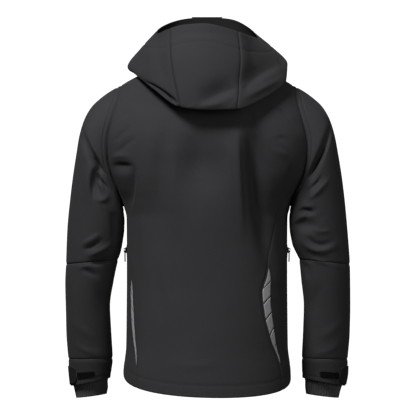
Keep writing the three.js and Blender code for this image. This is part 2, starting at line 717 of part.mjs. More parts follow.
function plateWithHole(outline, hole, depth) {
  const shape = new THREE.Shape(outline);
  shape.holes.push(new THREE.Path(hole));
  return new THREE.ExtrudeGeometry(shape, { depth, bevelEnabled: false });
}

function sliderGeometry() {
  const bodyTop = SLIDER.gap + SLIDER.height;
  const body = new THREE.BoxGeometry(SLIDER.width, SLIDER.height, SLIDER.length);
  body.translate(0, SLIDER.gap + SLIDER.height / 2, 0);
  const crown = plateWithHole(
    rectangle(-CROWN.length / 2, bodyTop - CROWN.sunk, CROWN.length / 2, CROWN.top),
    rectangle(-CROWN.holeLength / 2, bodyTop, CROWN.holeLength / 2, CROWN.holeTop),
    CROWN.width,
  );
  crown.translate(0, 0, -CROWN.width / 2);
  crown.rotateY(-Math.PI / 2);
  return geometryOf(solidOf(body).add(solidOf(crown)));
}

// The tab's own frame has the hinge at its origin and hangs down -z
function pullGeometry() {
  const tab = plateWithHole(
    rectangle(-PULL.width / 2, PULL.bar / 2 - PULL.length, PULL.width / 2, PULL.bar / 2),
    rectangle(-PULL.eyeWidth / 2, -PULL.bar / 2 - PULL.eyeLength, PULL.eyeWidth / 2, -PULL.bar / 2),
    PULL.thickness,
  );
  tab.translate(0, 0, -PULL.thickness / 2);
  tab.rotateX(Math.PI / 2);
  return tab;
}

function addZipHead(group, name, point, out, up) {
  const across = out.clone().cross(up).normalize();
  const slider = namedMesh(`${name}_slider`, sliderGeometry(), METAL);
  slider.position.copy(point);
  slider.quaternion.setFromRotationMatrix(new THREE.Matrix4().makeBasis(across, out, up));
  const pull = namedMesh(`${name}_pull_tab`, pullGeometry(), METAL);
  const level = new THREE.Vector3(0, 0, 1);
  const hangUp = level.addScaledVector(across, -across.z).normalize();
  const hangOut = hangUp.clone().cross(across).normalize();
  pull.position.copy(point).addScaledVector(out, PULL.barY).addScaledVector(up, PULL.barZ);
  pull.quaternion.setFromRotationMatrix(new THREE.Matrix4().makeBasis(across, hangOut, hangUp));
  group.add(slider, pull);
}

const FRONT_SLIDER_ROW = 1;
const POCKET_SLIDER_SHARE = 0.93;
const POCKET_SLIDER_STEP = 0.07;

function addFrontZipHead(group, zipGrid) {
  const last = zipGrid.length - 1;
  const middle = (row) => row[2].clone().add(row[3]).multiplyScalar(0.5);
  const high = middle(zipGrid[last]);
  const low = middle(zipGrid[last - FRONT_SLIDER_ROW]);
  const up = high.clone().sub(low).normalize();
  const out = new THREE.Vector3(0, -1, 0).addScaledVector(up, up.y).normalize();
  addZipHead(group, 'front_zip', low, out, up);
}

function addPocketZipHead(group, side) {
  const place = pocketZipPlace(side);
  const point = place(0.5, POCKET_SLIDER_SHARE);
  const up = place(0.5, 1).sub(place(0.5, POCKET_SLIDER_SHARE - POCKET_SLIDER_STEP)).normalize();
  const across = place(1, POCKET_SLIDER_SHARE).sub(place(0, POCKET_SLIDER_SHARE)).normalize();
  const out = across.cross(up).normalize().multiplyScalar(-side);
  point.addScaledVector(out, PATCH.lift + POCKET_ZIP.thickness);
  out.addScaledVector(up, -out.dot(up)).normalize();
  addZipHead(group, side > 0 ? 'pocket_zip_left' : 'pocket_zip_right', point, out, up);
}

// The whole jacket

function jacket() {
  const back = backGrid();
  const sides = { left: sideGrid(1), right: sideGrid(-1) };
  const fronts = { left: frontGrid(1), right: frontGrid(-1) };
  const columns = hoodColumns(back, fronts.left, fronts.right);
  const zip = frontZipGrid(fronts.left, fronts.right, columns);

  const panels = [
    { name: 'back_panel', look: SOFTSHELL, grid: back, closed: false, flip: true },
    { name: 'hood_centre', look: SOFTSHELL, flip: true, closed: false,
      grid: hoodGrid(columns, -HOOD_SEAM_ANGLE, HOOD_SEAM_ANGLE) },
    { name: 'hood_side_left', look: PANEL, flip: true, closed: false,
      grid: hoodGrid(columns, HOOD_SEAM_ANGLE, 180) },
    { name: 'hood_side_right', look: PANEL, flip: true, closed: false,
      grid: hoodGrid(columns, -180, -HOOD_SEAM_ANGLE) },
    { name: 'front_zip_tape', look: TAPE, grid: zip, closed: false, flip: false },
  ];
  for (const [hand, side] of [['left', 1], ['right', -1]]) {
    const loop = armholeLoop(back, side, sides[hand], fronts[hand]);
    const flip = side > 0;
    panels.push(
      { name: `front_${hand}`, look: SOFTSHELL, grid: fronts[hand], closed: false, flip },
      { name: `side_panel_${hand}`, look: PANEL, grid: sides[hand], closed: false, flip },
      { name: `upper_sleeve_${hand}`, look: SOFTSHELL, closed: true, flip,
        grid: sleeveGrid(side, UPPER_SLEEVE_ROWS, loop) },
      { name: `lower_sleeve_${hand}`, look: SOFTSHELL, closed: true, flip,
        grid: sleeveGrid(side, LOWER_SLEEVE_ROWS, loop) },
      { name: `cuff_${hand}`, look: PANEL, closed: true, flip,
        grid: sleeveGrid(side, CUFF_ROWS, loop) },
      { name: `knit_cuff_${hand}`, look: KNIT, grid: knitCuffGrid(side), closed: true, flip },
    );
  }
  shareSeamNormals(panels);

  const group = new THREE.Group();
  for (const panel of panels) {
    const { outer, inner } = panelSheets(panel);
    group.add(namedMesh(panel.name, sheetGeometry(outer, inner, panel.closed, panel.flip), panel.look));
  }
  for (const [hand, side] of [['left', 1], ['right', -1]]) {
    group.add(cuffPatch(`cuff_strap_${hand}`, STRAP, side, CUFF_STRAP));
    group.add(cuffPatch(`loop_tape_${hand}`, LOOPS, side, LOOP_TAPE));
    group.add(laidPatch(`pocket_zip_${hand}_tape`, TAPE, pocketZipPlace(side), POCKET_ZIP, side > 0));
    addPocketZipHead(group, side);
  }
  addFrontZipHead(group, zip);
  return group;
}

export default jacket();
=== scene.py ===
import math

import bpy
import numpy as np
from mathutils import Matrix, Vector

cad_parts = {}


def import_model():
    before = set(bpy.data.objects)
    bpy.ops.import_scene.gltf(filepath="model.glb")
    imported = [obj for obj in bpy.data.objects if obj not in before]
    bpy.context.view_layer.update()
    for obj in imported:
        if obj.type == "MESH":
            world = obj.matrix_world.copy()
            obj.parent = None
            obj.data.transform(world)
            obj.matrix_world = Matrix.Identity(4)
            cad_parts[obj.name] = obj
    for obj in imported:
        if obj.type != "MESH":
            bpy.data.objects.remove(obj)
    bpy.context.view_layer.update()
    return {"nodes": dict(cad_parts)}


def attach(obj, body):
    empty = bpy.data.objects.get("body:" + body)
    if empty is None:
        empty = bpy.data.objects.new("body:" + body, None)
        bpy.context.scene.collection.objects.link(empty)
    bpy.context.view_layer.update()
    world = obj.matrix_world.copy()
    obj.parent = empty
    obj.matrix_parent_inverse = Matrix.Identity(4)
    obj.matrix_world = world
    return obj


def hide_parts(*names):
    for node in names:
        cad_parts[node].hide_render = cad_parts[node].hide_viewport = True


# Hooded softshell jacket, seen from behind. Sizes are in millimetres until a mesh is made.
# +X is the wearer's left, -Y the front, +Z up.

MM = 0.001
CLOTH = 1.7
SHOULDER_Z = -44
UNDERARM_Z = -270
ARMHOLE_DIP = 42
HEM = {"level": -679, "tilt": 5, "back_drop": 45, "front_drop": 11, "roundness": 0.27, "softening": 0.001}
FRONT_YOKE_DROP = 61
YOKE_LIFT = 7
ZIP_HALF_WIDTH = 9
NECK = {"half_width": 75, "back_depth": 62, "front_depth": 80,
        "back_rise": 10, "front_drop": 45, "power": 0.9}
HOOD_SEAM_ANGLE = 36
HOOD_UNDER = {"near_fold": (0.35, 9), "near_neck": (0.72, 4)}
HOOD_SWELL_RISE = 0.7
ARMHOLE_ROWS = 9
SIDE_COLUMNS = 8
SLEEVE_COLUMNS = 2 * ARMHOLE_ROWS + SIDE_COLUMNS
HANDS = (("left", 1), ("right", -1))
SLEEVE_PARTS = {
    "upper_sleeve": {"v_from": 0, "v_to": 10, "rows": 150},
    "lower_sleeve": {"v_from": 10, "v_to": 14, "rows": 76},
    "cuff": {"v_from": 14, "v_to": 16, "rows": 30},
}
HOOD_COLUMNS = {"centre": 64, "side": 80, "zip": 8}


def table(columns, rows):
    """A short table with named columns."""
    values = np.array(rows, float)
    return {name: values[:, i] for i, name in enumerate(columns.split())}


# The form: the same sections as the solids have

TORSO = table("z half_width back_depth front_depth power", [
    (-740, 186, 148, 144, 0.96),
    (-671, 184, 144, 140, 0.96),
    (-618, 178, 140, 133, 0.95),
    (-540, 177, 136, 126, 0.94),
    (-470, 176.5, 134, 121, 0.94),
    (-400, 176.5, 134, 123, 0.93),
    (-337, 177, 136, 127, 0.92),
    (-300, 188, 138, 130, 0.9),
    (-270, 204, 140, 131, 0.88),
    (-235, 221, 141, 129, 0.85),
    (-200, 230, 141, 125, 0.83),
    (-165, 233, 138, 119, 0.82),
    (-125, 226, 129, 108, 0.83),
    (-84, 210, 113, 92, 0.86),
    (-44, 187, 92, 72, 0.92),
])

LENGTH_SEAMS = table("z back_left back_right front", [
    (-700, 55, 62, 122),
    (-653, 56, 59, 121),
    (-603, 60, 50, 119),
    (-545, 63, 43, 116),
    (-500, 65, 41, 110),
    (-447, 68, 49, 102),
    (-400, 70, 58, 98),
    (-330, 73, 69, 101),
    (-270, 74, 74, 107),
])

ARMHOLE_EDGE = table("z back front", [
    (-270, 74, 107),
    (-235, 70.3, 110.5),
    (-200, 68, 113),
    (-165, 66.5, 115),
    (-125, 65.6, 115),
    (-84, 69, 111),
    (-44, 90, 90),
])

SLEEVE = table("v out_left out_right out_z in_left in_right in_z depth forward armhole", [
    (0, 187, 187, -44, 178, 178, -312, 62, 0, 1),
    (1, 210, 210, -56, 179, 178, -318, 66, 0, 0.85),
    (2, 234, 234, -73, 179, 178, -325, 69, 0, 0.7),
    (3, 254, 254, -92, 179, 178, -333, 71, 1, 0.56),
    (4, 268, 268, -116, 179, 178.5, -342, 73, 2, 0.43),
    (5, 279, 279, -150, 180, 179.5, -353, 74, 3, 0.31),
    (6, 287, 288, -195, 181, 181, -366, 74, 4, 0.2),
    (7, 295, 296.5, -245, 183.5, 184, -380, 73, 6, 0.11),
    (8, 302, 303.5, -300, 186.5, 188, -396, 71, 8, 0.04),
    (9, 308, 309.5, -362, 190, 195, -411, 68, 11, 0),
    (10, 311, 315, -438, 195.5, 202.5, -428, 63, 15, 0),
    (11, 313, 316, -482, 206, 208, -476, 60, 20, 0),
    (12, 312, 316.5, -536, 214, 213.5, -531, 57, 27, 0),
    (13, 311, 315.5, -592, 211.5, 212, -588, 54, 34, 0),
    (14, 307, 311.5, -648, 208.5, 209.5, -646, 50, 41, 0),
    (15, 305, 311, -678, 211, 210, -670, 47, 44, 0),
    (16, 302, 306, -708, 214, 211, -690, 45, 47, 0),
])

KNIT_HIDDEN_ROWS = (14.7, 15.4)
KNIT_INSET = 2.5
KNIT_CUFF = table("row out_left out_right out_z in_left in_right in_z depth forward", [
    (0, 296, 299, -708, 220, 217, -697, 39, 47),
    (1, 293, 295, -721, 219, 217, -711, 35, 49),
    (2, 290, 292, -735, 222, 219, -726, 34, 51),
])

HOOD = table("angle mouth_x mouth_y mouth_z fold_x fold_y fold_z swell lies", [
    (-180, 0, -98, 112, 0, -92, 25, 0, 0),
    (-150, -54, -88, 106, -60, -84, 22, 2, 0),
    (-125, -90, -62, 88, -124, -54, 9, 7, 0.5),
    (-100, -109, -20, 68, -177, 4, 3, 4, 1),
    (-80, -113, 14, 57, -173, 62, -36, 9, 1),
    (-62, -98, 54, 60, -120, 128, -79, 14, 1),
    (-36, -69, 97, 68, -66, 157, -102, 14, 1),
    (0, 8, 118, 85, -4, 164, -104, 14, 1),
    (18, 47, 111, 83, 28, 163, -102, 14, 1),
    (36, 82, 94, 75, 59, 156, -97, 14, 1),
    (62, 106, 52, 67, 118, 121, -53, 14, 1),
    (80, 111, 14, 68, 160, 56, -17, 9, 1),
    (100, 110, -20, 77, 175, 8, -4, 3, 1),
    (125, 93, -62, 92, 124, -54, 10, 7, 0.5),
    (150, 54, -88, 106, 60, -84, 22, 2, 0),
    (180, 0, -98, 112, 0, -92, 25, 0, 0),
])

# Folds of the cloth, as seen from behind (face 1) or in front (-1): start, middle and end, reach
# to each side, how much wider they grow, and height. Below zero is a hollow, above zero a ridge.
# Left is the +X side of a fold that runs down and the lower side of one that runs to -X.

SEAM_ALLOWANCE = 7
FOLD_STEPS = 8
FOLD_FREE_FROM = 1.5
SMALL_FOLD_FREE_FROM = 0.5
FOLD_END_SHARE = 0.12
BODY_FOLDS_FADE = 0.35
SLEEVE_FOLDS_FADE = 0.4
HOOD_FOLDS_FACE = (0.15, 0.5)
FOLD_COLUMNS = "face x0 z0 x1 z1 x2 z2 left right grow height"

LARGE_FOLDS = {
    "body": table(FOLD_COLUMNS, [
        (1, -90, -136, -122, -276, -156, -470, 14, 28, 2.2, -24),
        (1, -66, -136, -68, -232, -77, -380, 20, 8, 1, 4.5),
        (1, 22, -96, 19, -170, 16, -250, 28, 26, 0.9, -6),
        (1, 86, -140, 104, -243, 106, -440, 14, 24, 1.3, -5),
        (1, 207, -224, 184, -221, 160, -226, 14, 5, 1, -7),
        (1, 161, -226, 162, -266, 168, -318, 13, 5, 1, -7),
        (1, -186, -220, -180, -265, -170, -330, 6, 13, 1, -8),
        (-1, 96, -150, 92, -260, 104, -380, 24, 16, 1, -7),
        (-1, -104, -160, -96, -280, -110, -400, 16, 26, 1, -8),
        (-1, 196, -210, 160, -235, 120, -250, 15, 9, 1, -5),
        (-1, -196, -205, -158, -240, -122, -262, 9, 15, 1, -5),
    ]),
    "left sleeve": table(FOLD_COLUMNS, [
        (1, 272, -128, 238, -162, 209, -219, 18, 4, 1, -13),
        (1, 220, -205, 240, -244, 242, -292, 5, 13, 1, -9),
        (1, 203, -318, 200, -350, 202, -398, 8, 9, 1, -6),
        (1, 192, -266, 186, -306, 184, -350, 11, 11, 1, 8),
        (1, 264, -419, 238, -410, 207, -391, 7, 6, 1, 5),
        (1, 255, -436, 229, -431, 203, -421, 7, 6, 1, -6),
        (-1, 300, -380, 256, -404, 206, -402, 12, 12, 1, -7),
        (-1, 262, -130, 236, -180, 216, -250, 15, 15, 1, -7),
    ]),
    "right sleeve": table(FOLD_COLUMNS, [
        (1, -264, -123, -232, -177, -200, -252, 11, 9, 1, -14),
        (1, -259, -244, -236, -270, -209, -292, 7, 7, 1, 4.5),
        (1, -198, -311, -212, -322, -232, -317, 6, 9, 1, -10),
        (1, -190, -262, -185, -314, -184, -374, 12, 12, 1, 10),
        (1, -205, -384, -242, -408, -283, -395, 7, 6, 1, 5),
        (-1, -300, -372, -256, -398, -206, -405, 12, 12, 1, -7),
        (-1, -262, -136, -238, -186, -216, -244, 15, 15, 1, -7),
    ]),
}

SMALL_FOLDS = {
    "body": table(FOLD_COLUMNS, [
        (1, 142, -235, 142, -330, 140, -450, 9, 9, 1, 2.2),
        (1, 205, -172, 190, -158, 168, -138, 5, 5, 1, -2),
        (1, 200, -196, 178, -180, 152, -158, 6, 6, 1, -2.2),
        (1, 196, -122, 180, -112, 166, -100, 6, 6, 1, -1.6),
        (1, 210, -206, 188, -202, 164, -204, 6, 7, 1, 2.6),
        (1, -148, -96, -166, -108, -184, -128, 5, 5, 1, -2.2),
        (1, -150, -168, -166, -164, -180, -176, 6, 6, 1, -2),
        (1, -146, -186, -164, -196, -176, -206, 7, 6, 1, 2),
        (1, -110, -230, -124, -310, -142, -400, 6, 7, 1, -1.8),
        (1, -152, -330, -150, -380, -160, -420, 9, 9, 1, 1.8),
        (1, 60, -330, 66, -430, 62, -540, 12, 10, 1, -1),
        (1, -106, -152, -122, -270, -146, -430, 30, 16, 1.0, -15),
        (1, -66, -150, -70, -240, -78, -370, 12, 6, 1, 2.4),
        (1, 70, -226, 10, -227, -50, -228, 60, 60, 1, -15),
        (1, 116, -440, 102, -500, 96, -560, 12, 9, 1, -1.8),
        (1, -30, -640, 20, -655, 90, -650, 9, 9, 1, 1),
        (-1, 150, -280, 120, -330, 112, -400, 9, 9, 1, 2),
        (-1, -150, -280, -118, -338, -112, -410, 9, 9, 1, 2),
        (-1, 60, -430, 84, -480, 96, -560, 10, 10, 1, -1.8),
        (-1, -62, -440, -86, -490, -96, -556, 10, 10, 1, -1.8),
        (-1, 30, -600, 70, -630, 120, -640, 9, 9, 1, 1.2),
        (-1, -30, -596, -74, -628, -124, -636, 9, 9, 1, 1.2),
    ]),
    "left sleeve": table(FOLD_COLUMNS, [
        (1, 228, -170, 214, -198, 203, -228, 10, 4, 1, -13),
        (1, 212, -206, 224, -244, 226, -286, 12, 5, 1, -9),
        (1, 230, -200, 251, -244, 253, -302, 9, 7, 1, 3.6),
        (1, 222, -230, 215, -250, 203, -262, 5, 5, 1, -8),
        (1, 236, -292, 216, -288, 197, -264, 6, 5, 1, 4.2),
        (1, 230, -232, 226, -252, 220, -268, 4, 4, 1, 2.6),
        (1, 275, -396, 254, -384, 233, -369, 8, 5, 1, 3.8),
        (1, 270, -405, 251, -399, 228, -383, 4, 5, 1, -4),
        (1, 274, -446, 256, -456, 236, -462, 6, 6, 1, -2.6),
        (1, 282, -448, 262, -442, 240, -446, 5, 5, 1, 2.4),
        (1, 250, -480, 236, -510, 232, -550, 10, 10, 1, -2),
        (1, 296, -560, 270, -586, 240, -600, 9, 9, 1, 1.4),
        (1, 290, -612, 262, -630, 230, -632, 7, 7, 1, 1.6),
        (-1, 288, -420, 250, -430, 212, -424, 7, 7, 1, 3.2),
        (-1, 250, -260, 236, -300, 214, -330, 9, 9, 1, 3),
        (-1, 290, -500, 262, -520, 232, -530, 9, 9, 1, -2),
    ]),
    "right sleeve": table(FOLD_COLUMNS, [
        (1, -262, -126, -228, -182, -198, -256, 9, 8, 1, -10),
        (1, -206, -246, -205, -276, -214, -310, 12, 9, 1, -9),
        (1, -242, -235, -225, -255, -207, -275, 5, 6, 1, -4),
        (1, -192, -340, -212, -352, -238, -344, 12, 20, 1, -9),
        (1, -216, -375, -244, -395, -275, -386, 5, 6, 1, -3.8),
        (1, -230, -360, -250, -366, -270, -362, 5, 5, 1, 2.2),
        (1, -203, -432, -216, -446, -221, -472, 7, 7, 1, -4.4),
        (1, -224, -424, -246, -432, -270, -438, 4, 5, 1, 2.6),
        (1, -282, -398, -292, -420, -300, -446, 8, 8, 1, -2.2),
        (1, -250, -480, -238, -510, -234, -550, 10, 10, 1, -2),
        (1, -296, -560, -270, -586, -240, -600, 9, 9, 1, 1.4),
        (1, -290, -612, -262, -630, -230, -632, 7, 7, 1, 1.6),
        (-1, -288, -420, -250, -430, -212, -424, 7, 7, 1, 3.2),
        (-1, -250, -260, -236, -300, -214, -330, 9, 9, 1, 3),
        (-1, -290, -500, -262, -520, -232, -530, 9, 9, 1, -2),
    ]),
}

HOOD_FOLDS = table(FOLD_COLUMNS, [
    (1, -66, -52, -24, -70, 20, -88, 26, 10, 1, -13),
    (1, -160, 2, -112, -28, -74, -66, 34, 9, 1, -13),
    (1, -80, -79, -119, -56, -164, -32, 8, 7, 1, 4.5),
    (1, 131, -43, 95, -66, 65, -90, 12, 4, 1, -14),
    (1, 20, -90, -10, -92, -40, -84, 6, 6, 1, 2.4),
    (1, 126, 22, 138, 0, 146, -20, 8, 8, 1, -2.5),
    (1, 96, 26, 100, -6, 92, -36, 9, 9, 1, -2),
    (1, -82, 40, -98, 20, -104, -4, 9, 12, 1, -2.5),
    (1, 74, 60, 20, 66, -60, 56, 8, 8, 1, -1.6),
])


def mix(a, b, share):
    return a + (b - a) * share


def at_places(values, along, wanted):
    """Rows of values, which lie at lengths along a line, read at other lengths."""
    return np.stack([np.interp(wanted, along, column) for column in values.T], -1)


def lengths_along(points):
    steps = np.linalg.norm(np.diff(points, axis=0), axis=-1)
    return np.concatenate([[0], np.cumsum(steps)])


def unit(vectors):
    return vectors / np.maximum(np.linalg.norm(vectors, axis=-1, keepdims=True), 1e-9)


def smooth(value, low, high):
    t = np.clip((value - low) / (high - low), 0, 1)
    return t * t * (3 - 2 * t)


def signed_power(value, power):
    return np.sign(value) * np.abs(value) ** power


def sample(rows, key_name, key, column):
    """A value between the rows of a table, without overshoot."""
    xs, ys = rows[key_name], rows[column]
    slopes = np.diff(ys) / np.diff(xs)
    before, after = slopes[:-1], slopes[1:]
    product = before * after
    total = np.where(np.abs(before + after) < 1e-12, 1, before + after)
    tangents = np.concatenate([slopes[:1], np.where(product <= 0, 0, 2 * product / total), slopes[-1:]])
    key = np.asarray(key, float)
    i = np.clip(np.searchsorted(xs, key, side="left") - 1, 0, len(xs) - 2)
    gap = xs[i + 1] - xs[i]
    t = np.clip((key - xs[i]) / gap, 0, 1)
    start, end = ys[i], ys[i + 1]
    start_pull, end_pull = gap * tangents[i], gap * tangents[i + 1]
    cubed = 2 * start - 2 * end + start_pull + end_pull
    squared = 3 * (end - start) - 2 * start_pull - end_pull
    return ((cubed * t + squared) * t + start_pull) * t + start


def fold_path(fold, axis, t):
    start, middle, end = fold[f"{axis}0"], fold[f"{axis}1"], fold[f"{axis}2"]
    bend = 2 * middle - (start + end) / 2
    return mix(mix(start, bend, t), mix(bend, end, t), t)


def nearest_on_fold(fold, x, z):
    """How far each place is from a fold, how far along it, and whether it is on its left."""
    t = np.linspace(0, 1, FOLD_STEPS + 1)
    path_x, path_z = fold_path(fold, "x", t), fold_path(fold, "z", t)
    nearest, along, on_left = np.full(x.shape, np.inf), np.zeros(x.shape), np.zeros(x.shape, bool)
    for step in range(FOLD_STEPS):
        run_x, run_z = path_x[step + 1] - path_x[step], path_z[step + 1] - path_z[step]
        off_x, off_z = x - path_x[step], z - path_z[step]
        share = np.clip((off_x * run_x + off_z * run_z) / (run_x ** 2 + run_z ** 2), 0, 1)
        off_x, off_z = off_x - run_x * share, off_z - run_z * share
        distance = np.hypot(off_x, off_z)
        closer = distance < nearest
        nearest = np.where(closer, distance, nearest)
        along = np.where(closer, (step + share) / FOLD_STEPS, along)
        on_left = np.where(closer, run_x * off_z - run_z * off_x > 0, on_left)
    return nearest, along, on_left


def fold_height(folds, facing, x, z):
    """How far a table of folds moves the cloth out at places seen from behind or in front."""
    x, z, facing = np.broadcast_arrays(np.asarray(x, float), np.asarray(z, float), facing)
    height = np.zeros(x.shape)
    for i in range(len(folds["face"])):
        fold = {name: values[i] for name, values in folds.items()}
        near = facing == fold["face"]
        if not near.any():
            continue
        distance, along, on_left = nearest_on_fold(fold, x[near], z[near])
        reach = np.where(on_left, fold["left"], fold["right"]) * mix(1, fold["grow"], along)
        share = mix(FOLD_END_SHARE, 1, np.sin(np.pi * along))
        height[near] += fold["height"] * share * np.exp(-((distance / reach) ** 2))
    return height


# Body surface

def torso_point(degrees, z):
    degrees, z = np.broadcast_arrays(np.asarray(degrees, float), np.asarray(z, float))
    sine, cosine = np.sin(np.radians(degrees)), np.cos(np.radians(degrees))
    power = sample(TORSO, "z", z, "power")
    depth = np.where(cosine >= 0, sample(TORSO, "z", z, "back_depth"), sample(TORSO, "z", z, "front_depth"))
    x = sample(TORSO, "z", z, "half_width") * signed_power(sine, power)
    y = depth * signed_power(cosine, power)
    shown = smooth(np.abs(cosine), 0, BODY_FOLDS_FADE)
    fold = shown * fold_height(LARGE_FOLDS["body"], np.sign(cosine), x, z)
    fold += shown * fold_height(SMALL_FOLDS["body"], np.sign(cosine), x, z)
    return np.stack([x + sine * fold, y + cosine * fold, z], -1)


def hem_z(degrees):
    cosine = np.cos(np.radians(degrees))
    drop = np.where(cosine > 0, HEM["back_drop"], HEM["front_drop"])
    bow = lambda value: (value + HEM["softening"]) ** HEM["roundness"] - HEM["softening"] ** HEM["roundness"]
    return HEM["level"] + HEM["tilt"] * np.sin(np.radians(degrees)) - drop * bow(cosine ** 2) / bow(1)


def back_seam(side):
    return lambda z: side * sample(LENGTH_SEAMS, "z", z, "back_left" if side > 0 else "back_right")


def front_seam(side):
    return lambda z: side * sample(LENGTH_SEAMS, "z", z, "front")


def armhole_edge(side, which):
    return lambda z: side * sample(ARMHOLE_EDGE, "z", z, which)


def zip_edge(side):
    def angle(z):
        share = ZIP_HALF_WIDTH / sample(TORSO, "z", z, "half_width")
        return side * (180 - np.degrees(np.arcsin(share ** (1 / sample(TORSO, "z", z, "power")))))
    return angle


def neck_point(degrees):
    sine, cosine = np.sin(np.radians(degrees)), np.cos(np.radians(degrees))
    behind = cosine >= 0
    return np.stack([
        NECK["half_width"] * signed_power(sine, NECK["power"]),
        np.where(behind, NECK["back_depth"], NECK["front_depth"]) * signed_power(cosine, NECK["power"]),
        np.where(behind, NECK["back_rise"], -NECK["front_drop"]) * cosine ** 2,
    ], -1)


ZIP_NECK_ANGLE = 180 - math.degrees(math.asin((ZIP_HALF_WIDTH / NECK["half_width"]) ** (1 / NECK["power"])))


def band(seam_a, seam_b, u, s, low, high):
    """Points across u and up s of one band of a body panel."""
    u, s = u[None, :], s[:, None]
    angle_a = seam_a(mix(low(np.zeros(1)), high(np.zeros(1)), s))
    angle_b = seam_b(mix(low(np.ones(1)), high(np.ones(1)), s))
    return torso_point(mix(angle_a, angle_b, u), mix(low(u), high(u), s))


def hem_line(seam_a, seam_b):
    return lambda u: hem_z(mix(seam_a(HEM["level"]), seam_b(HEM["level"]), u))


def level(height):
    return lambda u: np.full(np.shape(u), float(height))


def underarm_line(u):
    return UNDERARM_Z - ARMHOLE_DIP * np.sin(np.pi * u)


def front_yoke_line(u):
    return SHOULDER_Z - FRONT_YOKE_DROP * smooth(u, 0, 1)


def yoke_point(base, neck, t):
    point = mix(base, neck, t)
    point[..., 2] += YOKE_LIFT * 4 * (t * (1 - t))[..., 0]
    return point


def body_panel(lengthwise, beside, yoke_line, neck_a, neck_b, columns, rows):
    u = np.linspace(0, 1, columns + 1)
    lower = band(*lengthwise, u, np.linspace(0, 1, rows[0] + 1), hem_line(*lengthwise), level(UNDERARM_Z))
    upper = band(*beside, u, np.linspace(0, 1, rows[1] + 1), level(UNDERARM_Z), yoke_line)
    neck = neck_point(mix(neck_a, neck_b, u))
    t = np.linspace(0, 1, rows[2] + 1)[1:, None, None]
    yoke = yoke_point(upper[-1][None], neck[None], t)
    return np.concatenate([lower, upper[1:], yoke])


def back_grid(columns=160, rows=(140, 80, 36)):
    edges = (back_seam(-1), back_seam(1)), (armhole_edge(-1, "back"), armhole_edge(1, "back"))
    return body_panel(*edges, level(SHOULDER_Z), -90, 90, columns, rows)


def front_grid(side, columns=64, rows=(130, 66, 30)):
    edges = (front_seam(side), zip_edge(side)), (armhole_edge(side, "front"), zip_edge(side))
    return body_panel(*edges, front_yoke_line, side * 90, side * ZIP_NECK_ANGLE, columns, rows)


def side_grid(side, columns=40, rows=104):
    seams = back_seam(side), front_seam(side)
    u, s = np.linspace(0, 1, columns + 1), np.linspace(0, 1, rows + 1)
    return band(*seams, u, s, hem_line(*seams), underarm_line)


# Sleeve surface

def armhole_point(side, degrees):
    """The armhole from the shoulder down the back, under the arm and up the front."""
    j = np.asarray(degrees, float) / 360 * SLEEVE_COLUMNS
    back_z = mix(UNDERARM_Z, SHOULDER_Z, np.clip(1 - j / ARMHOLE_ROWS, 0, 1))
    front_z = mix(UNDERARM_Z, SHOULDER_Z, np.clip((j - ARMHOLE_ROWS - SIDE_COLUMNS) / ARMHOLE_ROWS, 0, 1))
    u = np.clip((j - ARMHOLE_ROWS) / SIDE_COLUMNS, 0, 1)
    under_angle = mix(back_seam(side)(UNDERARM_Z), front_seam(side)(UNDERARM_Z), u)
    back = torso_point(armhole_edge(side, "back")(back_z), back_z)
    under = torso_point(under_angle, underarm_line(u))
    front = torso_point(armhole_edge(side, "front")(front_z), front_z)
    first = (j <= ARMHOLE_ROWS)[:, None]
    second = (j <= ARMHOLE_ROWS + SIDE_COLUMNS)[:, None]
    return np.where(first, back, np.where(second, under, front))


def ring_point(rows, key_name, key, side, degrees):
    key, degrees = np.broadcast_arrays(np.asarray(key, float), np.asarray(degrees, float))
    hand = "left" if side > 0 else "right"
    columns = (f"out_{hand}", "out_z", f"in_{hand}", "in_z", "depth", "forward")
    value = {name: sample(rows, key_name, key, name) for name in columns}
    around, across = np.cos(np.radians(degrees)), np.sin(np.radians(degrees))
    x = side * (mix(value[f"in_{hand}"], value[f"out_{hand}"], (around + 1) / 2))
    z = mix(value["in_z"], value["out_z"], (around + 1) / 2)
    return np.stack([x, value["depth"] * across - value["forward"], z], -1)


def sleeve_point(side, v, degrees):
    point = ring_point(SLEEVE, "v", v, side, degrees)
    across = np.sin(np.radians(np.broadcast_to(degrees, point.shape[:-1])))
    name = "left sleeve" if side > 0 else "right sleeve"
    shown = smooth(np.abs(across), 0, SLEEVE_FOLDS_FADE)
    place = np.sign(across), point[..., 0], point[..., 2]
    station = np.asarray(v, float)
    height = smooth(station, 0, FOLD_FREE_FROM) * fold_height(LARGE_FOLDS[name], *place)
    height = height + smooth(station, 0, SMALL_FOLD_FREE_FROM) * fold_height(SMALL_FOLDS[name], *place)
    out = unit(point - ring_point(SLEEVE, "v", v, side, np.asarray(degrees) + 180))
    return point + out * (shown * height)[..., None]


def sleeve_grid(side, v_from, v_to, rows, columns=168):
    degrees = np.linspace(0, 360, columns, endpoint=False)
    v = np.linspace(v_from, v_to, rows + 1)
    pull = armhole_point(side, degrees) - ring_point(SLEEVE, "v", 0, side, degrees)
    share = sample(SLEEVE, "v", v, "armhole")
    grid = sleeve_point(side, v[:, None], degrees[None, :]) + share[:, None, None] * pull[None]
    if v_from == 0:
        grid[0] = armhole_point(side, degrees)
        turned_in = grid[0] - (side * SEAM_ALLOWANCE, 0, 0)
        grid = np.concatenate([turned_in[None], grid])
    return grid


KNIT_RIBS = {"count": 40, "height": 0.55}


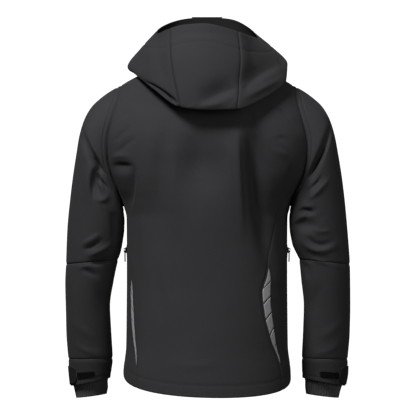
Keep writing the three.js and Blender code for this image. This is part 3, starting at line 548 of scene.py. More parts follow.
def knit_cuff_grid(side, rows=26, columns=320):
    degrees = np.linspace(0, 360, columns, endpoint=False)
    rings = []
    for v in KNIT_HIDDEN_ROWS:
        point = sleeve_point(side, v, degrees)
        rings.append(point + unit(sleeve_point(side, v, degrees + 180) - point) * KNIT_INSET)
    rings += [ring_point(KNIT_CUFF, "row", row, side, degrees) for row in KNIT_CUFF["row"]]
    grid = resample_rows(np.array(rings), rows + 1)
    rib = KNIT_RIBS["height"] * (np.cos(np.radians(degrees) * KNIT_RIBS["count"]) - 1)
    return grid + grid_normals(grid, True, -side) * rib[None, :, None]


def resample_rows(grid, count):
    """The rows of a grid spaced evenly along its columns."""
    steps = np.linalg.norm(np.diff(grid, axis=0), axis=-1).mean(1)
    along = np.concatenate([[0], np.cumsum(steps)])
    wanted = np.linspace(0, along[-1], count)
    return at_places(grid.reshape(len(grid), -1), along, wanted).reshape(count, *grid.shape[1:])


# Hood surface

def spline(points, rows):
    """A centripetal curve through the control points of each column."""
    points = np.concatenate([[2 * points[0] - points[1]], points, [2 * points[-1] - points[-2]]])
    segments = len(points) - 3
    out = []
    for place in np.linspace(0, segments, rows + 1):
        i = min(int(place), segments - 1)
        w = place - i
        p0, p1, p2, p3 = points[i:i + 4]
        d0, d1, d2 = (np.maximum(np.linalg.norm(b - a, axis=-1, keepdims=True), 1e-4) ** 0.5
                      for a, b in ((p0, p1), (p1, p2), (p2, p3)))
        t1 = ((p1 - p0) / d0 - (p2 - p0) / (d0 + d1) + (p2 - p1) / d1) * d1
        t2 = ((p2 - p1) / d1 - (p3 - p1) / (d1 + d2) + (p3 - p2) / d2) * d1
        out.append(p1 + t1 * w + (3 * (p2 - p1) - 2 * t1 - t2) * w ** 2 + (2 * (p1 - p2) + t1 + t2) * w ** 3)
    return np.array(out)


def yoke_base(angle):
    """The body's row below the yoke that meets the neck at an angle."""
    back = torso_point(angle, np.full(np.shape(angle), float(SHOULDER_Z)))
    side = np.sign(angle)
    u = np.clip((np.abs(angle) - 90) / (ZIP_NECK_ANGLE - 90), 0, 1)
    z = front_yoke_line(u)
    zip_angle = np.abs(zip_edge(1)(SHOULDER_Z - FRONT_YOKE_DROP))
    front = torso_point(side * mix(90, zip_angle, u), z)
    return np.where((np.abs(angle) <= 90)[:, None], back, front)


def hood_grid(angle_from, angle_to, columns, rows=130):
    angle = np.linspace(angle_from, angle_to, columns + 1)
    value = {name: sample(HOOD, "angle", angle, name) for name in HOOD if name != "angle"}
    mouth = np.stack([value["mouth_x"], value["mouth_y"], value["mouth_z"]], -1)
    fold = np.stack([value["fold_x"], value["fold_y"], value["fold_z"]], -1)
    neck, base = neck_point(angle), yoke_base(angle)
    rise = np.full(angle.shape, HOOD_SWELL_RISE)
    out = unit(np.stack([np.sin(np.radians(angle)), np.cos(np.radians(angle)), rise], -1))
    outer = mix(mouth, fold, 0.5) + out * value["swell"][:, None]

    def under(share, lift):
        shoulder = yoke_point(base.copy(), neck, np.full((len(angle), 1), share)) + out * lift
        return mix(mix(fold, neck, share), shoulder, value["lies"][:, None])

    lower = [under(*HOOD_UNDER["near_fold"]), under(*HOOD_UNDER["near_neck"])]
    return spline(np.array([mouth, outer, fold, *lower, neck]), rows)[::-1]


def hood_side_grid(side, use):
    return hood_grid(side * HOOD_SEAM_ANGLE, side * ZIP_NECK_ANGLE, HOOD_COLUMNS[use])


# From grids to cloth

def grid_normals(grid, closed, outward):
    if closed:
        across = np.roll(grid, -1, 1) - np.roll(grid, 1, 1)
    else:
        across = np.gradient(grid, axis=1)
    along = np.gradient(grid, axis=0)
    return unit(np.cross(across, along) * outward)


def edge_distances(grid, closed):
    """Millimetres from each point to the four edges of its grid, along the cloth."""
    rows = np.linalg.norm(np.diff(grid, axis=0), axis=-1)
    zero_row = np.zeros((1, grid.shape[1]))
    up = np.concatenate([zero_row, np.cumsum(rows, 0)])
    far = {"bottom": up, "top": up[-1:] - up}
    if not closed:
        columns = np.linalg.norm(np.diff(grid, axis=1), axis=-1)
        across = np.concatenate([np.zeros((grid.shape[0], 1)), np.cumsum(columns, 1)], 1)
        far["left"] = across
        far["right"] = across[:, -1:] - across
    return far


def placed(name, data):
    piece = bpy.data.objects.new(name, data)
    bpy.context.scene.collection.objects.link(piece)
    return piece


def shell(name, grid, closed, outward, thickness=CLOTH):
    """A thin closed wall: the grid outside, and the same grid moved in."""
    normal = grid_normals(grid, closed, outward)
    rows, columns = grid.shape[:2]
    sheets = np.concatenate([grid.reshape(-1, 3), (grid - normal * thickness).reshape(-1, 3)]) * MM
    count = rows * columns
    i, j = np.meshgrid(np.arange(rows - 1), np.arange(columns if closed else columns - 1), indexing="ij")
    a = i * columns + j
    b = i * columns + (j + 1) % columns
    quads = np.stack([a, b, b + columns, a + columns], -1).reshape(-1, 4)
    faces = [quads, quads[:, ::-1] + count]
    for row, turn in ((0, 1), (rows - 1, -1)):
        edge = np.arange(columns if closed else columns - 1)
        p, q = row * columns + edge, row * columns + (edge + 1) % columns
        faces.append(np.stack([p, p + count, q + count, q], -1)[:, ::turn])
    if not closed:
        for column, turn in ((0, -1), (columns - 1, 1)):
            edge = np.arange(rows - 1) * columns + column
            corners = [edge, edge + count, edge + columns + count, edge + columns]
            faces.append(np.stack(corners, -1)[:, ::turn])
    faces = np.concatenate(faces)
    if outward < 0:
        faces = faces[:, ::-1]
    mesh = bpy.data.meshes.new(name)
    mesh.from_pydata(sheets.tolist(), [], faces.tolist())
    mesh.polygons.foreach_set("use_smooth", np.ones(len(mesh.polygons), bool))
    add_cloth_coordinates(mesh, grid, closed)
    mesh.update()
    return placed(name, mesh)


def add_cloth_coordinates(mesh, grid, closed):
    """UVs in metres along the cloth, and a mark that is 1 on the inside, where the darker fleece colour with
    painted shade goes.
    """
    far = edge_distances(grid, closed)
    along = far["bottom"] * MM
    if closed:
        steps = np.linalg.norm(np.roll(grid, -1, 1) - grid, axis=-1).mean(0)
        across = np.broadcast_to(np.concatenate([[0], np.cumsum(steps)[:-1]]) * MM, along.shape)
    else:
        across = far["left"] * MM
    uv = np.stack([across, along], -1).reshape(-1, 2)
    uv = np.concatenate([uv, uv])
    layer = mesh.uv_layers.new(name="cloth")
    loops = np.empty(len(mesh.loops), int)
    mesh.loops.foreach_get("vertex_index", loops)
    layer.data.foreach_set("uv", uv[loops].reshape(-1))
    inside = mesh.attributes.new("inside", "FLOAT", "POINT")
    inside.data.foreach_set("value", np.repeat([0.0, 1.0], len(uv) // 2))


def line_beside(grid, normal, closed, edge, offset):
    """The line that runs along one edge of a grid, that many millimetres in from it."""
    far = edge_distances(grid, closed)[edge]
    walk = {"bottom": (0, 1), "top": (0, -1), "left": (1, 1), "right": (1, -1)}[edge]
    far, grid, normal = (np.swapaxes(values, 0, walk[0])[::walk[1]] for values in (far, grid, normal))
    lines = []
    for k in range(far.shape[1]):
        at = np.interp(offset, far[:, k], np.arange(len(far)))
        low = min(int(at), len(far) - 2)
        share = at - low
        place = [mix(values[low, k], values[low + 1, k], share) for values in (grid, normal)]
        lines.append(np.concatenate(place))
    if closed and edge in ("bottom", "top"):
        lines.append(lines[0])
    lines = np.array(lines)
    return lines[:, :3], lines[:, 3:]


STITCH = {"pitch": 3.4, "length": 2.5, "width": 0.55, "height": 0.4, "aim": 0.5}


def stitches(points, normals):
    """Corners and faces of the stitches along a line: each a small lengthwise diamond."""
    along = lengths_along(points)
    centres = np.arange(STITCH["pitch"], along[-1] - STITCH["pitch"] / 2, STITCH["pitch"])
    middle, out = at_places(points, along, centres), at_places(normals, along, centres)
    aim = STITCH["aim"]
    forward = unit(at_places(points, along, centres + aim) - at_places(points, along, centres - aim))
    across = np.cross(forward, out)
    half, width, height = STITCH["length"] / 2, STITCH["width"] / 2, STITCH["height"]
    corners = np.stack([
        middle - forward * half, middle + forward * half,
        middle - across * width + out * height / 2, middle + across * width + out * height / 2,
        middle + out * height, middle - out * height / 2,
    ], 1)
    pattern = np.array([
        (0, 2, 4), (2, 1, 4), (1, 3, 4), (3, 0, 4),
        (2, 0, 5), (1, 2, 5), (3, 1, 5), (0, 3, 5),
    ])
    faces = (np.arange(len(centres)) * 6)[:, None, None] + pattern[None]
    return corners.reshape(-1, 3), faces.reshape(-1, 3)


def stitched_piece(name, lines):
    corners, faces, start = [], [], 0
    for points, normals in lines:
        part, part_faces = stitches(points, normals)
        corners.append(part)
        faces.append(part_faces + start)
        start += len(part)
    return plain_mesh(name, np.concatenate(corners), np.concatenate(faces), smooth_faces=True)


def plain_mesh(name, corners, faces, smooth_faces=False):
    mesh = bpy.data.meshes.new(name)
    mesh.from_pydata((np.asarray(corners) * MM).tolist(), [], [list(map(int, face)) for face in faces])
    if smooth_faces:
        mesh.polygons.foreach_set("use_smooth", np.ones(len(mesh.polygons), bool))
    mesh.update()
    return placed(name, mesh)


# Sewing on each panel: the edge, how far in, how deep the cloth is drawn in, over what width,
# and whether stitches show there

SEWING = {
    "back_panel": [("left", 0, 1.3, 2.6, 0), ("right", 0, 1.3, 2.6, 0), ("left", 3.5, 0.4, 1.6, 1),
                   ("right", 3.5, 0.4, 1.6, 1), ("bottom", 26, 0.8, 2.4, 1), ("top", 0, 1.0, 3, 0)],
    "front": [("left", 0, 1.3, 2.6, 0), ("right", 0, 0.8, 2.0, 0), ("right", 7, 0.5, 1.8, 1),
              ("bottom", 26, 0.8, 2.4, 1), ("top", 0, 1.0, 3, 0)],
    "side_panel": [("left", 0, 1.3, 2.6, 0), ("right", 0, 1.3, 2.6, 0), ("bottom", 26, 0.8, 2.4, 1),
                   ("top", 0, 1.2, 3, 0)],
    "upper_sleeve": [("bottom", 7, 1.6, 2.4, 0), ("bottom", 10.5, 0.4, 1.6, 1), ("bottom", 19, 1.4, 1.8, 1),
                     ("top", 0, 1.4, 3, 0)],
    "lower_sleeve": [("bottom", 0, 1.4, 3, 0), ("bottom", 3.5, 0.4, 1.6, 1), ("top", 0, 1.4, 3, 0)],
    "cuff": [("bottom", 0, 1.4, 3, 0), ("bottom", 4, 0.4, 1.6, 1), ("top", 9, 0.6, 2, 1)],
    "hood_centre": [("left", 0, 1.8, 2.4, 0), ("right", 0, 1.8, 2.4, 0), ("left", 3.5, 0.4, 1.6, 1),
                    ("right", 3.5, 0.4, 1.6, 1), ("top", 44, 1.3, 2.2, 1), ("top", 4, 0.5, 1.6, 1)],
    "hood_side": [("left", 0, 1.8, 2.4, 0), ("right", 0, 1.3, 2.6, 0), ("top", 44, 1.3, 2.2, 1),
                  ("top", 4, 0.5, 1.6, 1)],
}


def sew(grid, closed, outward, rows):
    """The grid drawn in along its sewing, and the lines that its stitches follow."""
    normal = grid_normals(grid, closed, outward)
    far = edge_distances(grid, closed)
    depth = np.zeros(grid.shape[:2])
    for edge, offset, drawn, width, _ in rows:
        depth += drawn * np.exp(-(((far[edge] - offset) / width) ** 2))
    sewn = grid - normal * depth[..., None]
    sewn_normal = grid_normals(sewn, closed, outward)
    lines = [line_beside(sewn, sewn_normal, closed, edge, offset)
             for edge, offset, _, _, shown in rows if shown]
    return sewn, lines


# Pieces laid on the cloth

PATCH_LIFT = 0.45
CUFF_STRAP = {"from": -36, "to": 52, "low": 15.9, "high": 14.5, "taper": 0.1, "thickness": 1.6}
LOOP_TAPE = {"from": 54, "to": 104, "low": 15.5, "high": 15.02, "taper": 0.0, "thickness": 1.1}
TAPER_FROM = 0.75
CORNER_ROUND = 0.12
POCKET_ZIP = {"top": -396, "bottom": -560, "half_width": 6, "thickness": 1.4}
MM_PER_DEGREE = 2.6
TEETH = {"pitch": 3.2, "length": 2.0, "width": 4.4, "height": 1.5, "shift": 0.8, "foot": 0.3}
TOOTH_TOP = 0.72
TEETH_AIM = 2
ZIP_TAPE = {"columns": 18, "thickness": 1.6}
ZIP_FACING = {"rows": 70, "right": -1.2, "left": 2.2, "behind": 3.4, "thickness": 1.2, "columns": 24}
POCKET_TEETH = {"pitch": 2.6, "length": 1.7, "width": 3.4, "height": 0.9, "shift": 0.5, "foot": 0.2}


def laid_shell(name, grid, outward, thickness, lift=PATCH_LIFT):
    """A thin piece on the surface that a grid follows, its outer face lifted off by both sizes."""
    normal = grid_normals(grid, False, outward)
    return shell(name, grid + normal * (lift + thickness), False, outward, thickness)


def cuff_grid(side, size, columns=44, rows=14):
    u, v = np.meshgrid(np.linspace(0, 1, columns + 1), np.linspace(0, 1, rows + 1))
    narrowing = size["taper"] * smooth(u, TAPER_FROM, 1)
    into_corner = np.clip((u - 1 + CORNER_ROUND) / CORNER_ROUND, 0, 1)
    rounding = (1 - np.sqrt(1 - into_corner ** 2)) / 2
    height = mix(rounding, 1 - rounding, v)
    station = mix(size["low"] - narrowing, size["high"] + narrowing, height)
    return sleeve_point(side, station, mix(size["from"], size["to"], u))


def cuff_fastening(side, hand, rubber, loops):
    for node, size, material, slot in (("cuff_strap", CUFF_STRAP, rubber, "strap"),
                                       ("loop_tape", LOOP_TAPE, loops, "loop_tape")):
        name = f"{node}_{hand}"
        piece = laid_shell(f"{name}_cover", cuff_grid(side, size), side, size["thickness"])
        finish_piece(piece, material, node=name)


def blocks(centres, across, along, out, size):
    """Small blocks with sloping sides, one at each centre, which are the teeth of a zip."""
    half = np.array([size["width"], size["length"], size["height"]]) / 2
    corners = []
    for end, spread in ((-1, 1.0), (1, TOOTH_TOP)):
        for a, b in ((-1, -1), (1, -1), (1, 1), (-1, 1)):
            flat = across * a * half[0] * spread + along * b * half[1] * spread
            corners.append(centres + flat + out * (end * half[2] + size["foot"]))
    pattern = np.array([(0, 3, 2, 1), (4, 5, 6, 7), (0, 1, 5, 4), (1, 2, 6, 5), (2, 3, 7, 6), (3, 0, 4, 7)])
    faces = (np.arange(len(centres)) * 8)[:, None, None] + pattern[None]
    return np.stack(corners, 1).reshape(-1, 3), faces.reshape(-1, 4)


def zip_teeth(name, left, right, outward, size):
    """Teeth in two rows that mesh along the middle between two lines."""
    middle = (left + right) / 2
    along_line = lengths_along(middle)
    places = np.arange(size["pitch"], along_line[-1] - size["pitch"], size["pitch"] / 2)
    steps = (-TEETH_AIM, 0, TEETH_AIM)
    before, centres, after = (at_places(middle, along_line, places + step) for step in steps)
    along = unit(after - before)
    across = unit(at_places(left, along_line, places) - at_places(right, along_line, places))
    out = unit(np.cross(across, along)) * outward
    shift = np.where(np.arange(len(places)) % 2 == 0, 1, -1)[:, None] * size["shift"]
    centres = centres + across * shift + out * size["height"] / 2
    return plain_mesh(name, *blocks(centres, across, along, out, size))


def zip_lines():
    """The two edges that the front zip joins, from the hem up to the mouth of the hood."""
    lines = []
    for _, side in HANDS:
        lines.append(np.concatenate([front_grid(side)[:, -1], hood_side_grid(side, "zip")[1:, -1]]))
    return lines


def between(left, right, columns, low=0, high=1):
    """A grid across from a right line (0) to a left line (1)."""
    return mix(right[:, None], left[:, None], np.linspace(low, high, columns + 1)[None, :, None])


def front_zip(tape, teeth_plastic, cloth):
    left, right = zip_lines()
    grid = between(left, right, ZIP_TAPE["columns"])
    piece = shell("front_zip_tape_cloth", grid, False, 1, ZIP_TAPE["thickness"])
    finish_piece(piece, tape, node="front_zip_tape")
    finish_piece(zip_teeth("front_zip_teeth", left, right, 1, TEETH), teeth_plastic)
    top = slice(-ZIP_FACING["rows"], None)
    facing = between(left[top], right[top], ZIP_FACING["columns"], ZIP_FACING["right"], ZIP_FACING["left"])
    facing[..., 1] += ZIP_FACING["behind"]
    finish_piece(shell("zip_facing", facing, False, 1, ZIP_FACING["thickness"]), cloth)


def pocket_grid(side, columns=10, rows=70):
    u, v = np.meshgrid(np.linspace(0, 1, columns + 1), np.linspace(0, 1, rows + 1))
    z = mix(POCKET_ZIP["bottom"], POCKET_ZIP["top"], v)
    across = mix(-1, 1, u) * POCKET_ZIP["half_width"] / MM_PER_DEGREE
    return torso_point(side * (sample(LENGTH_SEAMS, "z", z, "front") + across), z)


def pocket_zip(side, hand, tape, teeth_plastic):
    grid = pocket_grid(side)
    thickness = POCKET_ZIP["thickness"]
    piece = laid_shell(f"pocket_zip_{hand}_tape_cloth", grid, -side, thickness)
    finish_piece(piece, tape, node=f"pocket_zip_{hand}_tape")
    raised = grid + grid_normals(grid, False, -side) * (PATCH_LIFT + thickness)
    teeth = zip_teeth(f"pocket_zip_{hand}_teeth", raised[:, -1], raised[:, 0], -side, POCKET_TEETH)
    finish_piece(teeth, teeth_plastic)


# Reflective strips beside the lower back seams: how far they start and end beyond the seam

BLADE_COLUMNS = "z near far"
BLADE = {
    "left": table(BLADE_COLUMNS, [
        (-656, 1, 1.8),
        (-610, 1, 4.5),
        (-560, 1, 6.2),
        (-500, 1, 5),
        (-473, 1, 1.8),
    ]),
    "right": table(BLADE_COLUMNS, [
        (-652, 1.5, 3),
        (-625, 2, 6.5),
        (-600, 2, 11),
        (-577, 2, 14),
        (-558, 2, 16.5),
        (-524, 2, 17.5),
        (-496, 2, 19.5),
        (-472, 5, 15.5),
        (-446, 7, 8.5),
    ]),
}
STRIPS = {"count": 6, "gap": 0.008, "slant": 16, "lift": 0.3, "film": 0.35, "rows": 12, "columns": 8}


def angle_at(x, z):
    """Degrees round the body where it is that far to the side, behind."""
    share = np.clip(np.abs(x) / sample(TORSO, "z", z, "half_width"), 0, 1)
    return np.sign(x) * np.degrees(np.arcsin(share ** (1 / sample(TORSO, "z", z, "power"))))


def strip_grid(side, edges, first, last):
    """The part of a reflective blade between two shares of its height, with slanted ends."""
    s = np.linspace(first, last, STRIPS["rows"] + 1)[:, None]
    w = np.linspace(0, 1, STRIPS["columns"] + 1)[None]
    low, high = edges["z"][0], edges["z"][-1]
    z = np.clip(mix(low, high, s) + STRIPS["slant"] * (w - 0.5), low, high)
    seam_x = np.abs(torso_point(back_seam(side)(z), z)[..., 0])
    reach = mix(sample(edges, "z", z, "near"), sample(edges, "z", z, "far"), w)
    return torso_point(angle_at(side * (seam_x + reach), z), z)


def reflective_strips(side, hand, film):
    count, gap = STRIPS["count"], STRIPS["gap"]
    for strip in range(count):
        grid = strip_grid(side, BLADE[hand], strip / count + gap, (strip + 1) / count - gap)
        name = f"reflective_strip_{hand}_{strip + 1}"
        finish_piece(laid_shell(name, grid, -side, STRIPS["film"], STRIPS["lift"]), film)


# Materials

def new_material(name):
    material = bpy.data.materials.new(name)
    material.use_nodes = True
    nodes = material.node_tree.nodes
    shader = nodes["Principled BSDF"]
    return material, nodes, material.node_tree.links, shader


def texture(nodes, links, kind, vector, **inputs):
    node = nodes.new(kind)
    links.new(vector, node.inputs["Vector"])
    for name, value in inputs.items():
        node.inputs[name.replace("_", " ").title()].default_value = value
    return node


def ramp(nodes, links, factor, stops):
    node = nodes.new("ShaderNodeValToRGB")
    links.new(factor, node.inputs["Fac"])
    elements = node.color_ramp.elements
    for k, (place, colour) in enumerate(stops):
        element = elements[k] if k < 2 else elements.new(place)
        element.position = place
        element.color = (*colour, 1)
    return node.outputs["Color"]


def bump(nodes, links, height, strength, distance, below=None):
    node = nodes.new("ShaderNodeBump")
    node.inputs["Strength"].default_value = strength
    node.inputs["Distance"].default_value = distance
    links.new(height, node.inputs["Height"])
    if below is not None:
        links.new(below, node.inputs["Normal"])
    return node.outputs["Normal"]


def roughness(nodes, links, shader, factor, low, high):
    """Roughness that follows a texture between two values."""
    node = nodes.new("ShaderNodeMapRange")
    node.inputs["To Min"].default_value = low
    node.inputs["To Max"].default_value = high
    links.new(factor, node.inputs["Value"])
    links.new(node.outputs["Result"], shader.inputs["Roughness"])


def blended(nodes, links, first, second, share):
    node = nodes.new("ShaderNodeMix")
    node.data_type = "FLOAT"
    node.inputs["Factor"].default_value = share
    links.new(first, node.inputs["A"])
    links.new(second, node.inputs["B"])
    return node.outputs["Result"]


SOFTSHELLS = {
    "softshell": {"dark": (0.026, 0.026, 0.028), "light": (0.034, 0.034, 0.0365)},
    "softshell_panel": {"dark": (0.024, 0.024, 0.026), "light": (0.032, 0.032, 0.034)},
}
# Inner face colour: a dark fleece, darkened further as painted shade, standing in for the shade inside the
# hood and collar.
FLEECE_AND_PAINTED_SHADE = (0.012, 0.012, 0.013)


def softshell(name, dark, light):
    """Fine matt stretch weave outside, brushed fleece inside; the inside colour is darkened further as
    painted shade for the shade inside the hood.
    """
    material, nodes, links, shader = new_material(name)
    place = nodes.new("ShaderNodeTexCoord").outputs["Object"]
    mottle = texture(nodes, links, "ShaderNodeTexNoise", place, scale=420.0, detail=3.0)
    broad = texture(nodes, links, "ShaderNodeTexNoise", place, scale=9.0, detail=3.0)
    weave = texture(nodes, links, "ShaderNodeTexVoronoi", place, scale=1500.0)
    blend = blended(nodes, links, mottle.outputs["Fac"], broad.outputs["Fac"], 0.45)
    outer = ramp(nodes, links, blend, [(0.3, dark), (0.7, light)])
    # The inner faces take the fleece colour, which carries painted shade.
    mark = nodes.new("ShaderNodeAttribute")
    mark.attribute_name = "inside"
    both = nodes.new("ShaderNodeMix")
    both.data_type = "RGBA"
    links.new(mark.outputs["Fac"], both.inputs["Factor"])
    links.new(outer, both.inputs["A"])
    both.inputs["B"].default_value = (*FLEECE_AND_PAINTED_SHADE, 1)
    links.new(both.outputs["Result"], shader.inputs["Base Color"])
    roughness(nodes, links, shader, broad.outputs["Fac"], 0.72, 0.92)
    shader.inputs["Sheen Weight"].default_value = 0.02
    shader.inputs["Sheen Roughness"].default_value = 0.45
    shader.inputs["Specular IOR Level"].default_value = 0.1
    fine = bump(nodes, links, weave.outputs["Distance"], 0.5, 0.0003)
    links.new(bump(nodes, links, mottle.outputs["Fac"], 0.35, 0.0006, fine), shader.inputs["Normal"])
    return material


def knit(name, dark, light):
    material, nodes, links, shader = new_material(name)
    uv = nodes.new("ShaderNodeTexCoord").outputs["UV"]
    loops = texture(nodes, links, "ShaderNodeTexVoronoi", uv, scale=700.0)
    fuzz = texture(nodes, links, "ShaderNodeTexNoise", uv, scale=900.0, detail=3.0)
    colour = ramp(nodes, links, fuzz.outputs["Fac"], [(0.3, dark), (0.7, light)])
    links.new(colour, shader.inputs["Base Color"])
    roughness(nodes, links, shader, fuzz.outputs["Fac"], 0.85, 1.0)
    shader.inputs["Sheen Weight"].default_value = 0.2
    links.new(bump(nodes, links, loops.outputs["Distance"], 0.6, 0.0006), shader.inputs["Normal"])
    return material


# Plain stuffs, with how rough they are, how fine and deep their grain is, and how they shine

STUFF_COLUMNS = "dark light rough_low rough_high grain depth metal gloss"
STUFF = {
    "thread": ((0.008, 0.008, 0.009), (0.02, 0.02, 0.022), 0.5, 0.8, 900, 0.0002, 0, 0.5),
    "zip_tape": ((0.006, 0.006, 0.007), (0.014, 0.014, 0.015), 0.6, 0.85, 1100, 0.0003, 0, 0.5),
    "zip_metal": ((0.02, 0.02, 0.022), (0.045, 0.045, 0.048), 0.28, 0.5, 300, 0.0001, 0.8, 0.5),
    "zip_teeth": ((0.008, 0.008, 0.009), (0.016, 0.016, 0.018), 0.3, 0.5, 500, 0.0001, 0, 0.5),
    "strap_rubber": ((0.01, 0.01, 0.011), (0.017, 0.017, 0.018), 0.45, 0.7, 420, 0.0003, 0, 0.15),
    "loop_tape": ((0.003, 0.003, 0.004), (0.008, 0.008, 0.009), 0.85, 1, 1600, 0.0008, 0, 0.02),
}


def smooth_stuff(name):
    """Rubber, moulded plastic, thread or lacquered metal, by its grain."""
    stuff = dict(zip(STUFF_COLUMNS.split(), STUFF[name]))
    material, nodes, links, shader = new_material(name)
    place = nodes.new("ShaderNodeTexCoord").outputs["Object"]
    noise = texture(nodes, links, "ShaderNodeTexNoise", place, scale=stuff["grain"], detail=4.0)
    grain = noise.outputs["Fac"]
    colour = ramp(nodes, links, grain, [(0.3, stuff["dark"]), (0.7, stuff["light"])])
    links.new(colour, shader.inputs["Base Color"])
    roughness(nodes, links, shader, grain, stuff["rough_low"], stuff["rough_high"])
    shader.inputs["Metallic"].default_value = stuff["metal"]
    shader.inputs["Specular IOR Level"].default_value = stuff["gloss"]
    links.new(bump(nodes, links, grain, 0.4, stuff["depth"]), shader.inputs["Normal"])
    return material


def reflective(name):
    """Grey reflective film with fine slanting lines."""
    material, nodes, links, shader = new_material(name)
    place = nodes.new("ShaderNodeTexCoord").outputs["Object"]
    turned = nodes.new("ShaderNodeMapping")
    turned.inputs["Rotation"].default_value = (0, math.radians(35), 0)
    links.new(place, turned.inputs["Vector"])
    lines = texture(nodes, links, "ShaderNodeTexWave", turned.outputs["Vector"], scale=260.0, distortion=0.6)
    grains = texture(nodes, links, "ShaderNodeTexNoise", place, scale=1500.0, detail=2.0)
    blend = blended(nodes, links, lines.outputs["Fac"], grains.outputs["Fac"], 0.4)
    colour = ramp(nodes, links, blend, [(0.2, (0.2, 0.2, 0.21)), (0.8, (0.36, 0.36, 0.37))])
    links.new(colour, shader.inputs["Base Color"])
    roughness(nodes, links, shader, grains.outputs["Fac"], 0.35, 0.6)
    links.new(bump(nodes, links, blend, 0.3, 0.0002), shader.inputs["Normal"])
    return material


# Cloth pieces

def finish_piece(piece, material, node=None):
    piece.data.materials.clear()
    piece.data.materials.append(material)
    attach(piece, "jacket")
    if node:
        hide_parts(node)


def with_hood_folds(grid, outward):
    """A hood panel drawn into its folds, where it faces back."""
    normal = grid_normals(grid, False, outward)
    back = normal[..., 1]
    low, high = HOOD_FOLDS_FACE
    height = fold_height(HOOD_FOLDS, np.where(back > low, 1, 0), grid[..., 0], grid[..., 2])
    return grid + normal * (height * smooth(back, low, high))[..., None]


def cloth_pieces(cloth, panel_cloth, thread):
    """Every sewn panel, in the space of its solid."""
    main, beside = (cloth, "softshell"), (panel_cloth, "softshell_panel")
    hood_centre = hood_grid(-HOOD_SEAM_ANGLE, HOOD_SEAM_ANGLE, HOOD_COLUMNS["centre"])
    plan = [
        ("back_panel", back_grid(), False, -1, "back_panel", *main),
        ("hood_centre", with_hood_folds(hood_centre, -1), False, -1, "hood_centre", *main),
    ]
    for hand, side in HANDS:
        hood_side = with_hood_folds(hood_side_grid(side, "side"), -side)
        plan += [
            (f"front_{hand}", front_grid(side), False, -side, "front", *main),
            (f"side_panel_{hand}", side_grid(side), False, -side, "side_panel", *beside),
            (f"hood_side_{hand}", hood_side, False, -side, "hood_side", *beside),
        ]
        for part, stations in SLEEVE_PARTS.items():
            look = beside if part == "cuff" else main
            plan.append((f"{part}_{hand}", sleeve_grid(side, **stations), True, -side, part, *look))
    lines = []
    for name, grid, closed, outward, sewing, material, slot in plan:
        sewn, piece_lines = sew(grid, closed, outward, SEWING[sewing])
        piece = shell(f"{name}_cloth", sewn, closed, outward)
        finish_piece(piece, material, node=name)
        lines += piece_lines
    finish_piece(stitched_piece("topstitching", lines), thread)


def trims(cloth, tape, teeth_plastic):
    """Knitted cuffs, cuff straps, zips and reflective strips."""
    knitted = knit("knit", (0.026, 0.026, 0.028), (0.042, 0.042, 0.045))
    rubber, loops = smooth_stuff("strap_rubber"), smooth_stuff("loop_tape")
    film = reflective("reflective_film")
    for hand, side in HANDS:
        name = f"knit_cuff_{hand}"
        piece = shell(f"{name}_cloth", knit_cuff_grid(side), True, -side)
        finish_piece(piece, knitted, node=name)
        cuff_fastening(side, hand, rubber, loops)
        pocket_zip(side, hand, tape, teeth_plastic)
        reflective_strips(side, hand, film)
    front_zip(tape, teeth_plastic, cloth)


def zip_hardware(nodes, metal):
    """The sliders and pull tabs, which are the solids themselves."""
    for name, node in nodes.items():
        if name.endswith(("_slider", "_pull_tab")):
            node.data.materials.clear()
            node.data.materials.append(metal)


def main():
    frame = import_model()
    cloth, panel_cloth = (softshell(name, **colours) for name, colours in SOFTSHELLS.items())
    cloth_pieces(cloth, panel_cloth, smooth_stuff("thread"))
    trims(cloth, smooth_stuff("zip_tape"), smooth_stuff("zip_teeth"))
    zip_hardware(frame["nodes"], smooth_stuff("zip_metal"))
    studio()
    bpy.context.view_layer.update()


VIEW = {"distance": 7.0, "x": -0.001, "z": -0.3135, "height": 0.913, "sensor": 36}
WORLD_LIGHT = 0.07
LIGHT_AIM = (0, 0, -0.35)
LIGHTS = {
    "key": {"place": (2.3, 2.9, 3.9), "size": 1.5, "power": 400, "glossy": True},
    "fill": {"place": (-2.6, 3.8, 0.6), "size": 2.4, "power": 60, "glossy": True},
    "front_key": {"place": (-0.9, -4.6, 0.4), "size": 2.2, "power": 170, "glossy": False},
    "front_fill": {"place": (1.6, -4.4, -0.3), "size": 2.4, "power": 40, "glossy": False},
}
ROOM_SIDES = 64
BACKDROP_RADIUS = 14000
FLOOR = {"z": -1000, "radius": 2600}


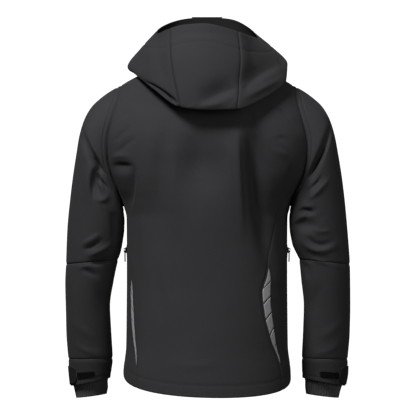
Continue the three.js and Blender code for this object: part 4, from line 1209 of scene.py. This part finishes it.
def studio():
    scene = bpy.context.scene
    scene.view_settings.view_transform = "Standard"
    camera = placed("camera", bpy.data.cameras.new("camera"))
    camera.location = (VIEW["x"], VIEW["distance"], VIEW["z"])
    camera.rotation_euler = (math.radians(90), 0, math.radians(180))
    camera.data.sensor_width = VIEW["sensor"]
    camera.data.lens = VIEW["sensor"] * VIEW["distance"] / VIEW["height"]
    scene.camera = camera
    world = bpy.data.worlds.new("world")
    world.use_nodes = True
    world.node_tree.nodes["Background"].inputs["Color"].default_value = (1, 1, 1, 1)
    world.node_tree.nodes["Background"].inputs["Strength"].default_value = WORLD_LIGHT
    scene.world = world
    for name, values in LIGHTS.items():
        light(name, **values)
    backdrop()
    floor()


def light(name, place, size, power, glossy):
    data = bpy.data.lights.new(name, "AREA")
    data.size = size
    data.energy = power
    lamp = placed(name, data)
    lamp.location = place
    lamp.rotation_euler = (Vector(LIGHT_AIM) - Vector(place)).to_track_quat("-Z", "Y").to_euler()
    lamp.visible_glossy = glossy


def white(name, strength):
    material, _, _, shader = new_material(name)
    shader.inputs["Base Color"].default_value = (0.9, 0.9, 0.9, 1)
    shader.inputs["Roughness"].default_value = 0.9
    shader.inputs["Emission Color"].default_value = (1, 1, 1, 1)
    shader.inputs["Emission Strength"].default_value = strength
    return material


def ring_corners(radius, z):
    turns = np.linspace(0, 2 * np.pi, ROOM_SIDES, endpoint=False)
    return [(radius * math.cos(turn), radius * math.sin(turn), z) for turn in turns]


def backdrop():
    """A plain white room all round, which only the camera sees."""
    count, half = ROOM_SIDES, BACKDROP_RADIUS
    corners = ring_corners(half, -half) + ring_corners(half, half)
    faces = [(k, (k + 1) % count, (k + 1) % count + count, k + count) for k in range(count)]
    faces += [tuple(range(count)), tuple(range(count, 2 * count))]
    room = plain_mesh("backdrop", corners, faces)
    room.data.materials.append(white("backdrop_white", 1.0))
    room.visible_diffuse = False
    room.visible_glossy = False
    room.visible_shadow = False


def floor():
    ground = plain_mesh("floor", ring_corners(FLOOR["radius"], FLOOR["z"]), [tuple(range(ROOM_SIDES))])
    ground.data.materials.append(white("floor_white", 0.25))
    ground.visible_diffuse = False
    ground.visible_glossy = False


main()
